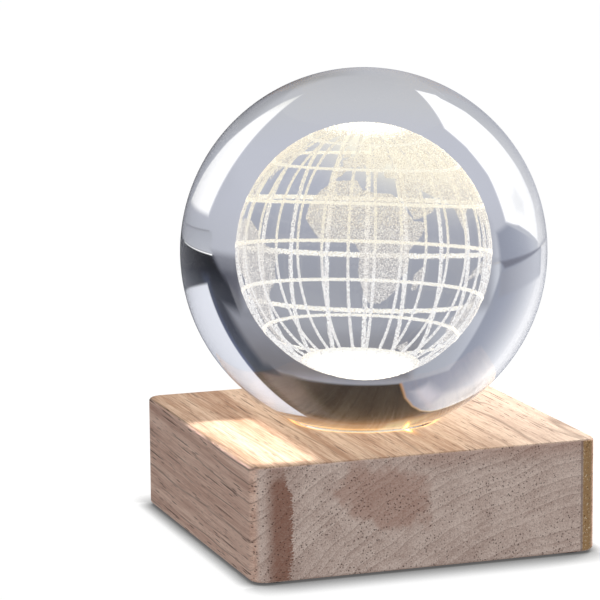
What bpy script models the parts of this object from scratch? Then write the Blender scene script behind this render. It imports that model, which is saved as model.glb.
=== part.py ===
# Light-up globe award: a clear glass ball with a globe engraved inside it rests in a
# lit seat in a square wooden base, which holds the lamp, three cells and a switch.
# Metres, +Z up. The table is z = 0, the ball's centre line is x = y = 0 and the
# front face looks along -Y.

import math

import bpy
import bmesh
from mathutils import Matrix, Vector

# Clearances and cutter lengths
gap = 0.0003
overrun = 0.002

# How finely round shapes are divided
ball_segments = 44
large_segments = 40
small_segments = 14
wire_resolution = 2
corner_segments = 5

# Wooden base
base_wall = 0.00775
base_corner_radius = 0.0035
base_edge_radius = 0.0005
pocket_clearance = 0.0004
pocket_corner_radius = 0.018
rebate_ledge = 0.0015
rebate_corner_radius = 0.0095
web_thickness = 0.005
light_hole_radius = 0.0147

# Feet
foot_radius = 0.0040
foot_proud = 0.0005
foot_sink = 0.0010
foot_inset = 0.00555

# Glass ball
ball_radius = 0.040
ball_dip = 0.0031
seat_contact_radius = 0.0152
channel_radius = 0.0006

# Globe engraved in the ball
globe_radius = 0.01845
grid_line_width = 0.0005
grid_line_height = 0.0004
land_height = 0.0004
meridian_count = 25
first_meridian = 6.5
parallel_step = 20.75
parallels_each_side = 3
polar_parallel = 83.0
globe_lean = 12.8
globe_lean_azimuth = 60.7
globe_spin = -125.4
land_inner_share = 0.35
land_outer_share = 1.3

# Lamp under the ball
board_radius = 0.020
board_thickness = 0.0012
under_board_space = 0.0015
board_screw_inset = 0.0028
flange_thickness = 0.0012
reflector_bore = 0.0124
reflector_mouth = 0.0130
window_radius = 0.0142
window_thickness = 0.0015
led_count = 6
led_circle = 0.0085
led_size = 0.0040
led_height = 0.0010
led_lens_radius = 0.0015
led_lens_depth = 0.0002
resistor_length = 0.0032
resistor_width = 0.0016
resistor_height = 0.0006
resistor_place = 0.0022

# Cells and their tray
cell_count = 3
cell_diameter = 0.0105
cell_length = 0.0445
cell_nub_radius = 0.0019
cell_nub_length = 0.0010
cell_pitch = 0.0113
cell_edge = 0.0006
tray_offset = -0.0040
tray_wall = 0.0012
tray_roof = 0.0008
lug_length = 0.0040
lug_width = 0.0060
contact_thickness = 0.0004
contact_width = 0.0084
contact_height = 0.0080
tab_width = 0.0030
tab_height = 0.0020
tab_length = 0.0030
spring_length = 0.0040
spring_radius = 0.0030
spring_tip_radius = 0.0018
spring_wire_radius = 0.0002
spring_turns = 4
spring_points_per_turn = 9

# Cover, door and their fixings
cover_thickness = 0.0020
cover_recess = 0.0011
cover_screw_inset = 0.0049
door_end_overlap = 0.0009
door_side_overlap = 0.00035
door_pin_radius = 0.0004
door_pin_length = 0.0016
door_round_share = 0.9
latch_length = 0.0014
latch_width = 0.0100
finger_notch_radius = 0.0064
finger_notch_depth = 0.0005
rib_count = 5
rib_pitch = 0.0020
rib_length = 0.0120
rib_width = 0.0007
rib_height = 0.0004
rib_inset = 0.0060

# Switch
switch_inset = 0.0080
switch_length = 0.0094
switch_width = 0.0054
switch_height = 0.0046
switch_wall = 0.0008
switch_flange_length = 0.0172
switch_flange_thickness = 0.0008
switch_screw_place = 0.0066
switch_travel = 0.0032
slider_length = 0.0036
slider_width = 0.0030
slider_height = 0.0014
knob_length = 0.0028
knob_width = 0.0020
knob_proud = 0.0006

# Screws
screw_shank_radius = 0.0010
screw_head_radius = 0.0019
screw_head_height = 0.0008
small_screw_shank_radius = 0.0008
small_screw_head_radius = 0.0014
small_screw_head_height = 0.0007
screw_slot_width = 0.0005
screw_slot_depth = 0.0003
cover_screw_length = 0.0100
tray_screw_length = 0.0050
board_screw_length = 0.0064
switch_screw_length = 0.0020

# Leads
lead_radius = 0.00055
lead_pad_place = 0.0090
lead_pad_inset = 0.0045
lead_low = 0.0065
lead_side_gap = 0.0024
switch_terminal_place = 0.0026

# Levels worked out upwards from the table
base_bottom = foot_proud
cover_bottom = base_bottom + cover_recess
cover_top = cover_bottom + cover_thickness
inner_floor = cover_top + gap
cell_radius = cell_diameter / 2
cell_axis_z = inner_floor + cell_radius
tray_ceiling = inner_floor + cell_diameter + gap
tray_top = tray_ceiling + tray_roof
pocket_top = tray_top + gap
board_bottom = tray_top + under_board_space
board_top = board_bottom + board_thickness
flange_bottom = board_top + gap
flange_top = flange_bottom + flange_thickness
chamber_top = flange_top + gap
window_bottom = chamber_top
base_top = chamber_top + web_thickness
base_height = base_top - base_bottom
ball_center_z = base_top - ball_dip + ball_radius
tray_inner_length = cell_length + spring_length + 2 * contact_thickness + 5 * gap
tray_inner_width = (cell_count - 1) * cell_pitch + cell_diameter + 2 * gap
tray_length = tray_inner_length + 2 * tray_wall
tray_width = tray_inner_width + 2 * tray_wall

# Widths and places worked out outwards from the tray
pocket_width = tray_length + 2 * lug_length + 2 * pocket_clearance
rebate_width = pocket_width + 2 * rebate_ledge
base_width = pocket_width + 2 * base_wall
foot_place = base_width / 2 - foot_inset
cover_screw_place = rebate_width / 2 - cover_screw_inset
board_screw_circle = board_radius - board_screw_inset
switch_offset = pocket_width / 2 - switch_inset
lead_corner = tray_length / 2 + lead_side_gap
lead_pad_back = board_radius - lead_pad_inset
door_length = tray_inner_length + 2 * door_end_overlap
door_width = tray_inner_width + 2 * door_side_overlap
hinge_x = -door_length / 2 + cover_thickness / 2
hinge_z = cover_bottom + cover_thickness / 2

# Coarse coastlines, as longitude and latitude in degrees, and each one's middle
land_outlines = [
    ((18, 3), [(-6, 35), (10, 37), (11, 33), (20, 31), (31, 31), (37, 21), (43, 12), (51, 11),
               (40, -4), (40, -15), (35, -20), (31, -30), (26, -34), (19, -34), (12, -17),
               (13, -6), (9, 4), (4, 6), (-9, 5), (-17, 14), (-17, 21)]),
    ((85, 48), [(-9, 37), (-9, 43), (-2, 44), (-4, 48), (8, 54), (21, 55), (30, 60), (22, 61),
                (25, 65), (17, 57), (5, 60), (16, 69), (40, 67), (68, 69), (104, 77), (140, 73),
                (180, 69), (178, 62), (162, 57), (156, 52), (155, 59), (136, 54), (141, 50),
                (128, 40), (120, 38), (121, 27), (108, 20), (109, 12), (103, 12), (103, 2),
                (97, 16), (88, 22), (80, 11), (77, 9), (72, 21), (57, 26), (50, 29), (59, 22),
                (45, 13), (36, 30), (36, 37), (28, 38), (30, 41), (41, 42), (35, 46), (28, 43),
                (23, 38), (14, 45), (4, 43), (-2, 37)]),
    ((-100, 48), [(-168, 66), (-156, 71), (-125, 70), (-94, 72), (-84, 68), (-94, 60),
                  (-85, 55), (-79, 55), (-77, 62), (-62, 57), (-56, 52), (-66, 45), (-75, 39),
                  (-81, 31), (-80, 26), (-90, 29), (-97, 27), (-95, 18), (-87, 21), (-84, 15),
                  (-83, 10), (-84, 8), (-92, 14), (-106, 22), (-114, 31), (-124, 40),
                  (-124, 48), (-139, 60), (-158, 56), (-165, 61)]),
    ((-60, -18), [(-78, 8), (-72, 12), (-62, 10), (-50, 0), (-35, -6), (-40, -21), (-54, -34),
                  (-65, -42), (-69, -54), (-75, -50), (-71, -30), (-71, -18), (-81, -5)]),
    ((133, -25), [(114, -22), (130, -12), (140, -17), (143, -11), (153, -26), (150, -37),
                  (138, -35), (131, -31), (115, -34)]),
    ((-42, 73), [(-70, 78), (-35, 83), (-18, 80), (-24, 70), (-43, 60), (-54, 69)]),
    ((0, -90), [(0, -70), (50, -67), (110, -66), (165, -71), (170, -78), (220, -75),
                (285, -73), (300, -66), (292, -76), (330, -76)]),
]


def new_collection(name):
    collection = bpy.data.collections.new(name)
    bpy.context.scene.collection.children.link(collection)
    return collection


def start_empty_scene():
    for old in list(bpy.data.objects):
        bpy.data.objects.remove(old, do_unlink=True)


start_empty_scene()
parts = new_collection("globe_award")
cutters = new_collection("cutters")


def make_material(name, color, roughness, metallic=0.0, alpha=1.0, emission=0.0):
    material = bpy.data.materials.new(name)
    material.use_nodes = True
    shader = material.node_tree.nodes["Principled BSDF"]
    shader.inputs["Base Color"].default_value = (*color, 1.0)
    shader.inputs["Roughness"].default_value = roughness
    shader.inputs["Metallic"].default_value = metallic
    shader.inputs["Alpha"].default_value = alpha
    shader.inputs["Emission Color"].default_value = (*color, 1.0)
    shader.inputs["Emission Strength"].default_value = emission
    material.diffuse_color = (*color, alpha)
    return material


light_wood = make_material("light_wood", (0.62, 0.44, 0.29), 0.55)
crystal_glass = make_material("crystal_glass", (0.93, 0.95, 0.97), 0.02, alpha=0.35)
engraving = make_material("engraving", (1.0, 0.86, 0.62), 0.6, emission=1.0)
clear_plastic = make_material("clear_plastic", (0.95, 0.93, 0.88), 0.15, alpha=0.35)
white_plastic = make_material("white_plastic", (0.85, 0.84, 0.80), 0.4)
black_plastic = make_material("black_plastic", (0.03, 0.03, 0.03), 0.5)
board_white = make_material("board_white", (0.82, 0.84, 0.80), 0.5)
led_yellow = make_material("led_yellow", (1.0, 0.78, 0.35), 0.35, emission=1.0)
resistor_black = make_material("resistor_black", (0.02, 0.02, 0.025), 0.4)
cell_jacket = make_material("cell_jacket", (0.05, 0.07, 0.10), 0.35)
nickel_steel = make_material("nickel_steel", (0.72, 0.70, 0.66), 0.3, metallic=1.0)
zinc_steel = make_material("zinc_steel", (0.60, 0.60, 0.58), 0.35, metallic=1.0)
foot_rubber = make_material("foot_rubber", (0.05, 0.05, 0.05), 0.8)
red_pvc = make_material("red_pvc", (0.60, 0.02, 0.02), 0.45)
black_pvc = make_material("black_pvc", (0.02, 0.02, 0.02), 0.45)


def add_object(name, mesh, material=None, at=(0, 0, 0)):
    # A piece goes with the parts, and a shape without a material is a cutter.
    item = bpy.data.objects.new(name, mesh)
    item.location = at
    if material:
        parts.objects.link(item)
        if not mesh.materials:
            mesh.materials.append(material)
    else:
        cutters.objects.link(item)
        item.hide_render = True
        item.display_type = 'WIRE'
    return item


def mesh_from(name, shape):
    mesh = bpy.data.meshes.new(name)
    bmesh.ops.recalc_face_normals(shape, faces=shape.faces)
    shape.to_mesh(mesh)
    shape.free()
    return mesh


def box(name, size, at, material=None, corner_radius=0.0, corner_steps=corner_segments):
    # A block centred in x and y on its place, standing on the level z given there.
    shape = bmesh.new()
    bmesh.ops.create_cube(shape, size=1)
    bmesh.ops.scale(shape, vec=size, verts=shape.verts)
    bmesh.ops.translate(shape, vec=(0, 0, size[2] / 2), verts=shape.verts)
    if corner_radius:
        uprights = [edge for edge in shape.edges
                    if abs(edge.verts[0].co.z - edge.verts[1].co.z) > size[2] / 2]
        bmesh.ops.bevel(shape, geom=uprights, offset=corner_radius, segments=corner_steps,
                        profile=0.5, affect='EDGES')
    return add_object(name, mesh_from(name, shape), material, at)


def disc(name, radius, height, at, material=None, segments=small_segments):
    # A cylinder standing on the level z of its place.
    shape = bmesh.new()
    bmesh.ops.create_cone(shape, cap_ends=True, segments=segments, radius1=radius,
                          radius2=radius, depth=height)
    bmesh.ops.translate(shape, vec=(0, 0, height / 2), verts=shape.verts)
    mesh = mesh_from(name, shape)
    mesh.shade_smooth()
    mesh.set_sharp_from_angle(angle=math.radians(40))
    return add_object(name, mesh, material, at)


def turned(name, profile, at, material=None, segments=small_segments):
    # The profile runs from top to bottom down the outer side, as (radius, height).
    mesh = bpy.data.meshes.new(name)
    points = [(radius, 0, height) for radius, height in profile]
    closed = profile[0][0] > 0
    count = len(points)
    edges = [(i, (i + 1) % count) for i in range(count if closed else count - 1)]
    mesh.from_pydata(points, edges, [])
    item = add_object(name, mesh, material, at)
    screw = item.modifiers.new("Turn", 'SCREW')
    screw.axis = 'Z'
    screw.angle = math.tau
    screw.steps = segments
    screw.render_steps = segments
    screw.use_merge_vertices = True
    screw.merge_threshold = 0.00001
    screw.use_smooth_shade = True
    return item


def combine(target, other, operation='DIFFERENCE'):
    change = target.modifiers.new(other.name, 'BOOLEAN')
    change.operation = operation
    change.solver = 'EXACT'
    change.object = other
    return change


def soften(item, width, segments=2):
    rounding = item.modifiers.new("Soften", 'BEVEL')
    rounding.width = width
    rounding.segments = segments
    rounding.limit_method = 'ANGLE'
    rounding.angle_limit = math.radians(50)


def screw_profile(length, shank, head, head_height):
    # The tip is up and the head is down, with the head's top on the piece's own z = 0.
    return [(0, length), (shank / 2, length), (shank, length - shank), (shank, 0),
            (head, 0), (head, -head_height / 2), (head - head_height / 2, -head_height),
            (0, -head_height)]


def make_screw(name, at, length, shank=screw_shank_radius, head=screw_head_radius,
               head_height=screw_head_height, turned_over=False):
    item = turned(name, screw_profile(length, shank, head, head_height), at, zinc_steel)
    slot = box(name + "_slot", (2 * head + overrun, screw_slot_width, screw_slot_depth + overrun),
               (0, 0, -head_height - overrun))
    slot.parent = item
    combine(item, slot)
    if turned_over:
        item.rotation_euler = (math.pi, 0, 0)
    return item


def ball_height(radius):
    # Level of the ball's underside at a distance from its centre line.
    return ball_center_z - math.sqrt(ball_radius ** 2 - radius ** 2)


def cell_place(index):
    return tray_offset + (index - (cell_count - 1) / 2) * cell_pitch


def cell_faces_left(index):
    # Cells lie head to tail, and the first has its nub towards -X.
    return index % 2 == 0


def corners(place):
    return [(sx * place, sy * place) for sx in (-1, 1) for sy in (-1, 1)]


def board_screw_places():
    angles = [math.radians(90 + 120 * i) for i in range(3)]
    return [(board_screw_circle * math.cos(a), board_screw_circle * math.sin(a)) for a in angles]


def tray_lug_place():
    return tray_length / 2 + lug_length / 2


def make_base():
    base = box("wood_base", (base_width, base_width, base_height), (0, 0, base_bottom),
               light_wood, base_corner_radius)
    soften(base, base_edge_radius)
    below = base_bottom - overrun
    rebate = box("rebate_cut", (rebate_width, rebate_width, inner_floor - below), (0, 0, below),
                 corner_radius=rebate_corner_radius)
    pocket = box("pocket_cut", (pocket_width, pocket_width, pocket_top - below), (0, 0, below),
                 corner_radius=pocket_corner_radius)
    chamber = disc("chamber_cut", board_radius + gap, chamber_top - base_bottom,
                   (0, 0, base_bottom), segments=large_segments)
    slope = math.tan(math.asin(seat_contact_radius / ball_radius))
    clear = gap / math.cos(math.atan(slope))

    def seat(radius):
        return ball_height(seat_contact_radius) - clear + (radius - seat_contact_radius) * slope

    top = base_top + overrun
    rim = seat_contact_radius + (top - seat(seat_contact_radius)) / slope
    light_hole = turned("light_hole_cut",
                        [(0, top), (rim, top), (light_hole_radius, seat(light_hole_radius)),
                         (light_hole_radius, chamber_top - overrun), (0, chamber_top - overrun)],
                        (0, 0, 0), segments=large_segments)
    for cutter in (rebate, pocket, chamber, light_hole):
        combine(base, cutter)
    for i, (x, y) in enumerate(corners(foot_place)):
        combine(base, disc(f"foot_cut_{i + 1}", foot_radius + gap, foot_sink + gap + overrun,
                           (x, y, base_bottom - overrun), segments=large_segments // 2))
    for i, (x, y) in enumerate(corners(cover_screw_place)):
        combine(base, disc(f"cover_screw_cut_{i + 1}", screw_shank_radius + gap,
                           cover_screw_length, (x, y, cover_bottom + gap)))
    for i, sx in enumerate((-1, 1)):
        combine(base, disc(f"tray_screw_cut_{i + 1}", screw_shank_radius + gap, tray_screw_length,
                           (sx * tray_lug_place(), tray_offset, tray_ceiling + gap)))
    for i, (x, y) in enumerate(board_screw_places()):
        combine(base, disc(f"board_screw_cut_{i + 1}", small_screw_shank_radius + gap,
                           board_screw_length, (x, y, board_bottom + gap)))


def make_feet():
    for i, (x, y) in enumerate(corners(foot_place)):
        foot = disc(f"foot_pad_{i + 1}", foot_radius, foot_proud + foot_sink, (x, y, 0),
                    foot_rubber, large_segments // 2)
        soften(foot, foot_proud / 2, 1)


def make_ball():
    shape = bmesh.new()
    bmesh.ops.create_uvsphere(shape, u_segments=ball_segments, v_segments=ball_segments // 2,
                              radius=ball_radius)
    mesh = mesh_from("glass_ball", shape)
    mesh.shade_smooth()
    ball = add_object("glass_ball", mesh, crystal_glass, (0, 0, ball_center_z))
    hollow_shape = bmesh.new()
    bmesh.ops.create_uvsphere(hollow_shape, u_segments=large_segments,
                              v_segments=large_segments // 2,
                              radius=globe_radius + land_height + gap)
    hollow = add_object("globe_space_cut", mesh_from("globe_space_cut", hollow_shape), None,
                        (0, 0, ball_center_z))
    channel = disc("channel_cut", channel_radius, ball_radius - globe_radius + overrun,
                   (0, 0, ball_center_z - ball_radius - overrun))
    combine(ball, hollow)
    combine(ball, channel)
    return ball


def globe_direction(longitude, latitude):
    lon, lat = math.radians(longitude), math.radians(latitude)
    return Vector((math.cos(lat) * math.cos(lon), math.cos(lat) * math.sin(lon), math.sin(lat)))


def globe_grid_mesh():
    # The sphere's faces are the cells between engraved lines, set back a little each.
    shape = bmesh.new()
    steps = range(-parallels_each_side, parallels_each_side + 1)
    latitudes = [-polar_parallel] + [i * parallel_step for i in steps] + [polar_parallel]
    rings = []
    for latitude in latitudes:
        turns = [first_meridian + 360 * i / meridian_count for i in range(meridian_count)]
        rings.append([shape.verts.new(globe_direction(turn, latitude) * globe_radius)
                      for turn in turns])
    for low, high in zip(rings, rings[1:]):
        for i in range(meridian_count):
            j = (i + 1) % meridian_count
            shape.faces.new((low[i], low[j], high[j], high[i]))
    cells = list(shape.faces)
    shape.faces.new(rings[-1])
    shape.faces.new(list(reversed(rings[0])))
    bmesh.ops.recalc_face_normals(shape, faces=shape.faces)
    bmesh.ops.inset_individual(shape, faces=cells, thickness=grid_line_width / 2,
                               depth=-grid_line_height)
    return mesh_from("engraved_globe", shape)


def land_block(middle, outline):
    # The land's outline is widened from inside the globe to outside it, between two
    # flat faces square to the line through its middle.
    axis = globe_direction(*middle)
    near = globe_radius * land_inner_share
    far = globe_radius * land_outer_share
    directions = [globe_direction(*point) for point in outline]
    shape = bmesh.new()
    inner = [shape.verts.new(d * near / d.dot(axis)) for d in directions]
    outer = [shape.verts.new(d * far / d.dot(axis)) for d in directions]
    shape.faces.new(outer)
    shape.faces.new(list(reversed(inner)))
    for i in range(len(outline)):
        j = (i + 1) % len(outline)
        shape.faces.new((inner[i], inner[j], outer[j], outer[i]))
    return shape


def make_globe(ball):
    lean = Matrix.Rotation(math.radians(globe_lean_azimuth), 3, 'Z')
    turn = (lean @ Matrix.Rotation(math.radians(globe_lean), 3, 'Y') @ lean.inverted()
            @ Matrix.Rotation(math.radians(globe_spin), 3, 'Z'))
    globe = add_object("engraved_globe", globe_grid_mesh(), engraving)
    globe.parent = ball
    globe.rotation_euler = turn.to_euler()
    land_sphere = bmesh.new()
    bmesh.ops.create_uvsphere(land_sphere, u_segments=large_segments,
                              v_segments=large_segments // 2, radius=globe_radius + land_height)
    land = add_object("land_form", mesh_from("land_form", land_sphere))
    blocks = bpy.data.meshes.new("land_blocks")
    joined = bmesh.new()
    for middle, outline in land_outlines:
        block = land_block(middle, outline)
        bmesh.ops.recalc_face_normals(block, faces=block.faces)
        block.to_mesh(blocks)
        block.free()
        joined.from_mesh(blocks)
    joined.to_mesh(blocks)
    joined.free()
    outlines = add_object("land_blocks", blocks)
    for helper in (land, outlines):
        helper.parent = globe
    combine(land, outlines, 'INTERSECT')
    combine(globe, land, 'UNION')


def make_lamp():
    disc("light_window", window_radius, window_thickness, (0, 0, window_bottom),
         clear_plastic, large_segments)
    ring = turned("reflector_ring",
                  [(reflector_mouth, flange_top), (board_radius, flange_top),
                   (board_radius, flange_bottom), (reflector_bore, flange_bottom)],
                  (0, 0, 0), white_plastic, large_segments)
    board = disc("led_board", board_radius, board_thickness, (0, 0, board_bottom),
                 board_white, large_segments)
    for i, (x, y) in enumerate(board_screw_places()):
        for plate in (ring, board):
            combine(plate, disc(f"{plate.name}_hole_{i + 1}", small_screw_shank_radius + gap,
                                flange_top - board_bottom + 2 * overrun,
                                (x, y, board_bottom - overrun)))
        make_screw(f"board_screw_{i + 1}", (x, y, board_bottom - gap), board_screw_length,
                   small_screw_shank_radius, small_screw_head_radius, small_screw_head_height)
    for i in range(led_count):
        angle = math.tau * i / led_count
        led = box(f"led_{i + 1}", (led_size, led_size, led_height),
                  (led_circle * math.cos(angle), led_circle * math.sin(angle), board_top + gap),
                  led_yellow)
        led.rotation_euler = (0, 0, angle)
        well = disc(f"led_well_{i + 1}", led_lens_radius, led_lens_depth + overrun,
                    (0, 0, led_height - led_lens_depth))
        well.parent = led
        combine(led, well)
    for i, sx in enumerate((-1, 1)):
        box(f"resistor_{i + 1}", (resistor_width, resistor_length, resistor_height),
            (sx * resistor_place, 0, board_top + gap), resistor_black)


def make_tray():
    tray = box("cell_tray", (tray_length, tray_width, tray_top - inner_floor),
               (0, tray_offset, inner_floor), white_plastic)
    below = inner_floor - overrun
    inside = box("tray_cut", (tray_inner_length, tray_inner_width, tray_ceiling - below),
                 (0, tray_offset, below))
    combine(tray, inside)
    for i, sx in enumerate((-1, 1)):
        lug = box(f"tray_lug_{i + 1}", (lug_length + 2 * tray_wall, lug_width, tray_roof),
                  (sx * (tray_lug_place() - tray_wall), tray_offset, tray_ceiling))
        combine(tray, lug, 'UNION')
        combine(tray, disc(f"lug_hole_{i + 1}", screw_shank_radius + gap,
                           tray_roof + 2 * overrun,
                           (sx * tray_lug_place(), tray_offset, tray_ceiling - overrun)))
        make_screw(f"tray_screw_{i + 1}", (sx * tray_lug_place(), tray_offset, tray_ceiling - gap),
                   tray_screw_length)
    for i, (sx, index) in enumerate(((-1, 0), (1, cell_count - 1))):
        combine(tray, box(f"tab_slot_{i + 1}", (tray_wall + 2 * overrun, tab_width + 2 * gap,
                                                tab_height + 2 * gap),
                          (sx * (tray_length - tray_wall) / 2, cell_place(index),
                           cell_axis_z - tab_height / 2 - gap)))


def make_cells():
    body_end = cell_length - cell_nub_length
    profile = [(0, cell_length), (cell_nub_radius, cell_length), (cell_nub_radius, body_end),
               (cell_radius - cell_edge, body_end), (cell_radius, body_end - cell_edge),
               (cell_radius, cell_edge), (cell_radius - cell_edge, 0), (0, 0)]
    nub_end = tray_inner_length / 2 - 2 * gap - contact_thickness
    for i in range(cell_count):
        side = -1 if cell_faces_left(i) else 1
        cell = turned(f"cell_{i + 1}", profile,
                      (side * (nub_end - cell_length), cell_place(i), cell_axis_z),
                      cell_jacket, large_segments // 2)
        cell.rotation_euler = (0, side * math.pi / 2, 0)
        make_spring(i, -side)


def make_spring(index, side):
    wall_x = tray_inner_length / 2 - 2 * gap - contact_thickness
    steps = spring_turns * spring_points_per_turn
    curve = bpy.data.curves.new(f"cell_spring_{index + 1}", 'CURVE')
    curve.dimensions = '3D'
    spline = curve.splines.new('POLY')
    spline.points.add(steps)
    usable = spring_length - 2 * spring_wire_radius
    for i in range(steps + 1):
        share = i / steps
        radius = spring_radius + (spring_tip_radius - spring_radius) * share
        angle = math.tau * spring_turns * share
        x = side * (wall_x - spring_wire_radius - usable * share)
        spline.points[i].co = (x, radius * math.cos(angle), radius * math.sin(angle), 1)
    curve.bevel_depth = spring_wire_radius
    curve.bevel_resolution = 1
    curve.use_fill_caps = True
    curve.materials.append(nickel_steel)
    spring = bpy.data.objects.new(curve.name, curve)
    spring.location = (0, cell_place(index), cell_axis_z)
    parts.objects.link(spring)


def make_contacts():
    x = tray_inner_length / 2 - gap - contact_thickness / 2
    bottom = cell_axis_z - contact_height / 2
    linked_width = cell_pitch + contact_width
    box("contact_link_1", (contact_thickness, linked_width, contact_height),
        (x, (cell_place(0) + cell_place(1)) / 2, bottom), nickel_steel)
    box("contact_link_2", (contact_thickness, linked_width, contact_height),
        (-x, (cell_place(1) + cell_place(2)) / 2, bottom), nickel_steel)
    for name, side, index in (("contact_positive", -1, 0), ("contact_negative", 1, 2)):
        plate = box(name, (contact_thickness, contact_width, contact_height),
                    (side * x, cell_place(index), bottom), nickel_steel)
        tab = box(name + "_tab", (tab_length, tab_width, tab_height),
                  (side * (x + tab_length / 2), cell_place(index), cell_axis_z - tab_height / 2))
        combine(plate, tab, 'UNION')


def make_cover():
    width = rebate_width - 2 * gap
    cover = box("bottom_cover", (width, width, cover_thickness), (0, 0, cover_bottom),
                black_plastic, rebate_corner_radius - gap)
    depth = cover_thickness + 2 * overrun
    low = cover_bottom - overrun
    opening = box("door_opening_cut", (door_length + 2 * gap, door_width + 2 * gap, depth),
                  (0, tray_offset, low))
    latch = box("latch_cut", (2 * latch_length + 2 * gap, latch_width + 2 * gap, depth),
                (door_length / 2, tray_offset, low))
    pin = disc("door_pin_cut", door_pin_radius + gap, door_width + 2 * door_pin_length + 2 * gap,
               (hinge_x, tray_offset + door_width / 2 + door_pin_length + gap, hinge_z))
    pin.rotation_euler = (math.pi / 2, 0, 0)
    slot = box("knob_slot_cut", (knob_length + switch_travel + 2 * gap, knob_width + 2 * gap, depth),
               (0, switch_offset, low))
    for cutter in (opening, latch, pin, slot):
        combine(cover, cutter)
    for i, (x, y) in enumerate(corners(cover_screw_place)):
        combine(cover, disc(f"cover_hole_{i + 1}", screw_shank_radius + gap, depth, (x, y, low)))
        make_screw(f"cover_screw_{i + 1}", (x, y, cover_bottom - gap), cover_screw_length)
    for i, sx in enumerate((-1, 1)):
        combine(cover, disc(f"switch_screw_cut_{i + 1}", small_screw_shank_radius + gap,
                            cover_thickness, (sx * switch_screw_place, switch_offset,
                                              cover_bottom + cover_thickness / 2)))


def make_door():
    # The door's own origin is on its hinge line, so it turns about it.
    half = cover_thickness / 2
    far = door_length - half
    shape = bmesh.new()
    bmesh.ops.create_cube(shape, size=1)
    bmesh.ops.scale(shape, vec=(door_length, door_width, cover_thickness), verts=shape.verts)
    bmesh.ops.translate(shape, vec=(door_length / 2 - half, 0, 0), verts=shape.verts)
    hinge_edges = [edge for edge in shape.edges if all(vert.co.x < 0 for vert in edge.verts)
                   and abs(edge.verts[0].co.y - edge.verts[1].co.y) > half]
    bmesh.ops.bevel(shape, geom=hinge_edges, offset=half * door_round_share, segments=4,
                    profile=0.5, affect='EDGES')
    door = add_object("battery_door", mesh_from("battery_door", shape), black_plastic,
                      (hinge_x, tray_offset, hinge_z))
    pins = disc("door_pins", door_pin_radius, door_width + 2 * door_pin_length,
                (0, door_width / 2 + door_pin_length, 0))
    pins.rotation_euler = (math.pi / 2, 0, 0)
    latch = box("door_latch", (2 * latch_length, latch_width, half), (far, 0, -half * 3 / 4))
    notch = disc("finger_notch_cut", finger_notch_radius, finger_notch_depth + overrun,
                 (far + latch_length / 2, 0, -half - overrun), segments=large_segments // 2)
    ribs = [box(f"door_rib_{i + 1}", (rib_width, rib_length, rib_height + half),
                (far - rib_inset - i * rib_pitch, 0, -half - rib_height))
            for i in range(rib_count)]
    for helper in (pins, latch, notch, *ribs):
        helper.parent = door
        combine(door, helper, 'DIFFERENCE' if helper == notch else 'UNION')


def make_switch():
    flange_bottom_z = inner_floor
    body = box("switch_body", (switch_length, switch_width, switch_height),
               (0, switch_offset, flange_bottom_z), black_plastic)
    flange = box("switch_flange", (switch_flange_length, switch_width, switch_flange_thickness),
                 (0, switch_offset, flange_bottom_z))
    inside = box("switch_cut", (switch_length - 2 * switch_wall, switch_width - 2 * switch_wall,
                                switch_height - switch_wall + overrun),
                 (0, switch_offset, flange_bottom_z - overrun))
    combine(body, flange, 'UNION')
    combine(body, inside)
    for i, sx in enumerate((-1, 1)):
        x = sx * switch_screw_place
        combine(body, disc(f"flange_hole_{i + 1}", small_screw_shank_radius + gap,
                           switch_flange_thickness + 2 * overrun,
                           (x, switch_offset, flange_bottom_z - overrun)))
        make_screw(f"switch_screw_{i + 1}",
                   (x, switch_offset, flange_bottom_z + switch_flange_thickness + gap),
                   switch_screw_length, small_screw_shank_radius, small_screw_head_radius,
                   small_screw_head_height, turned_over=True)
    rest_x = switch_travel / 2
    slider = box("switch_slider", (slider_length, slider_width, slider_height),
                 (rest_x, switch_offset, flange_bottom_z + gap), black_plastic)
    knob_bottom = cover_bottom - knob_proud
    knob = box("switch_knob", (knob_length, knob_width, flange_bottom_z + 2 * gap - knob_bottom),
               (0, 0, knob_bottom - flange_bottom_z - gap))
    knob.parent = slider
    combine(slider, knob, 'UNION')


def lead_points(route):
    # A smooth curve through the route's points, read at a few places on each span.
    spans_read = 5
    points = [Vector(point) for point in route]
    ends = [2 * points[0] - points[1]] + points + [2 * points[-1] - points[-2]]
    result = []
    for a, b, c, d in zip(ends, ends[1:], ends[2:], ends[3:]):
        for i in range(spans_read):
            t = i / spans_read
            result.append(0.5 * (2 * b + (c - a) * t + (2 * a - 5 * b + 4 * c - d) * t ** 2
                                 + (3 * b - a - 3 * c + d) * t ** 3))
    return result + [points[-1]]


def make_lead(name, route, material):
    curve = bpy.data.curves.new(name, 'CURVE')
    curve.dimensions = '3D'
    points = lead_points(route)
    spline = curve.splines.new('POLY')
    spline.points.add(len(points) - 1)
    for spot, point in zip(spline.points, points):
        spot.co = (*point, 1)
    curve.bevel_depth = lead_radius
    curve.bevel_resolution = wire_resolution
    curve.use_fill_caps = True
    curve.materials.append(material)
    parts.objects.link(bpy.data.objects.new(name, curve))


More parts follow.
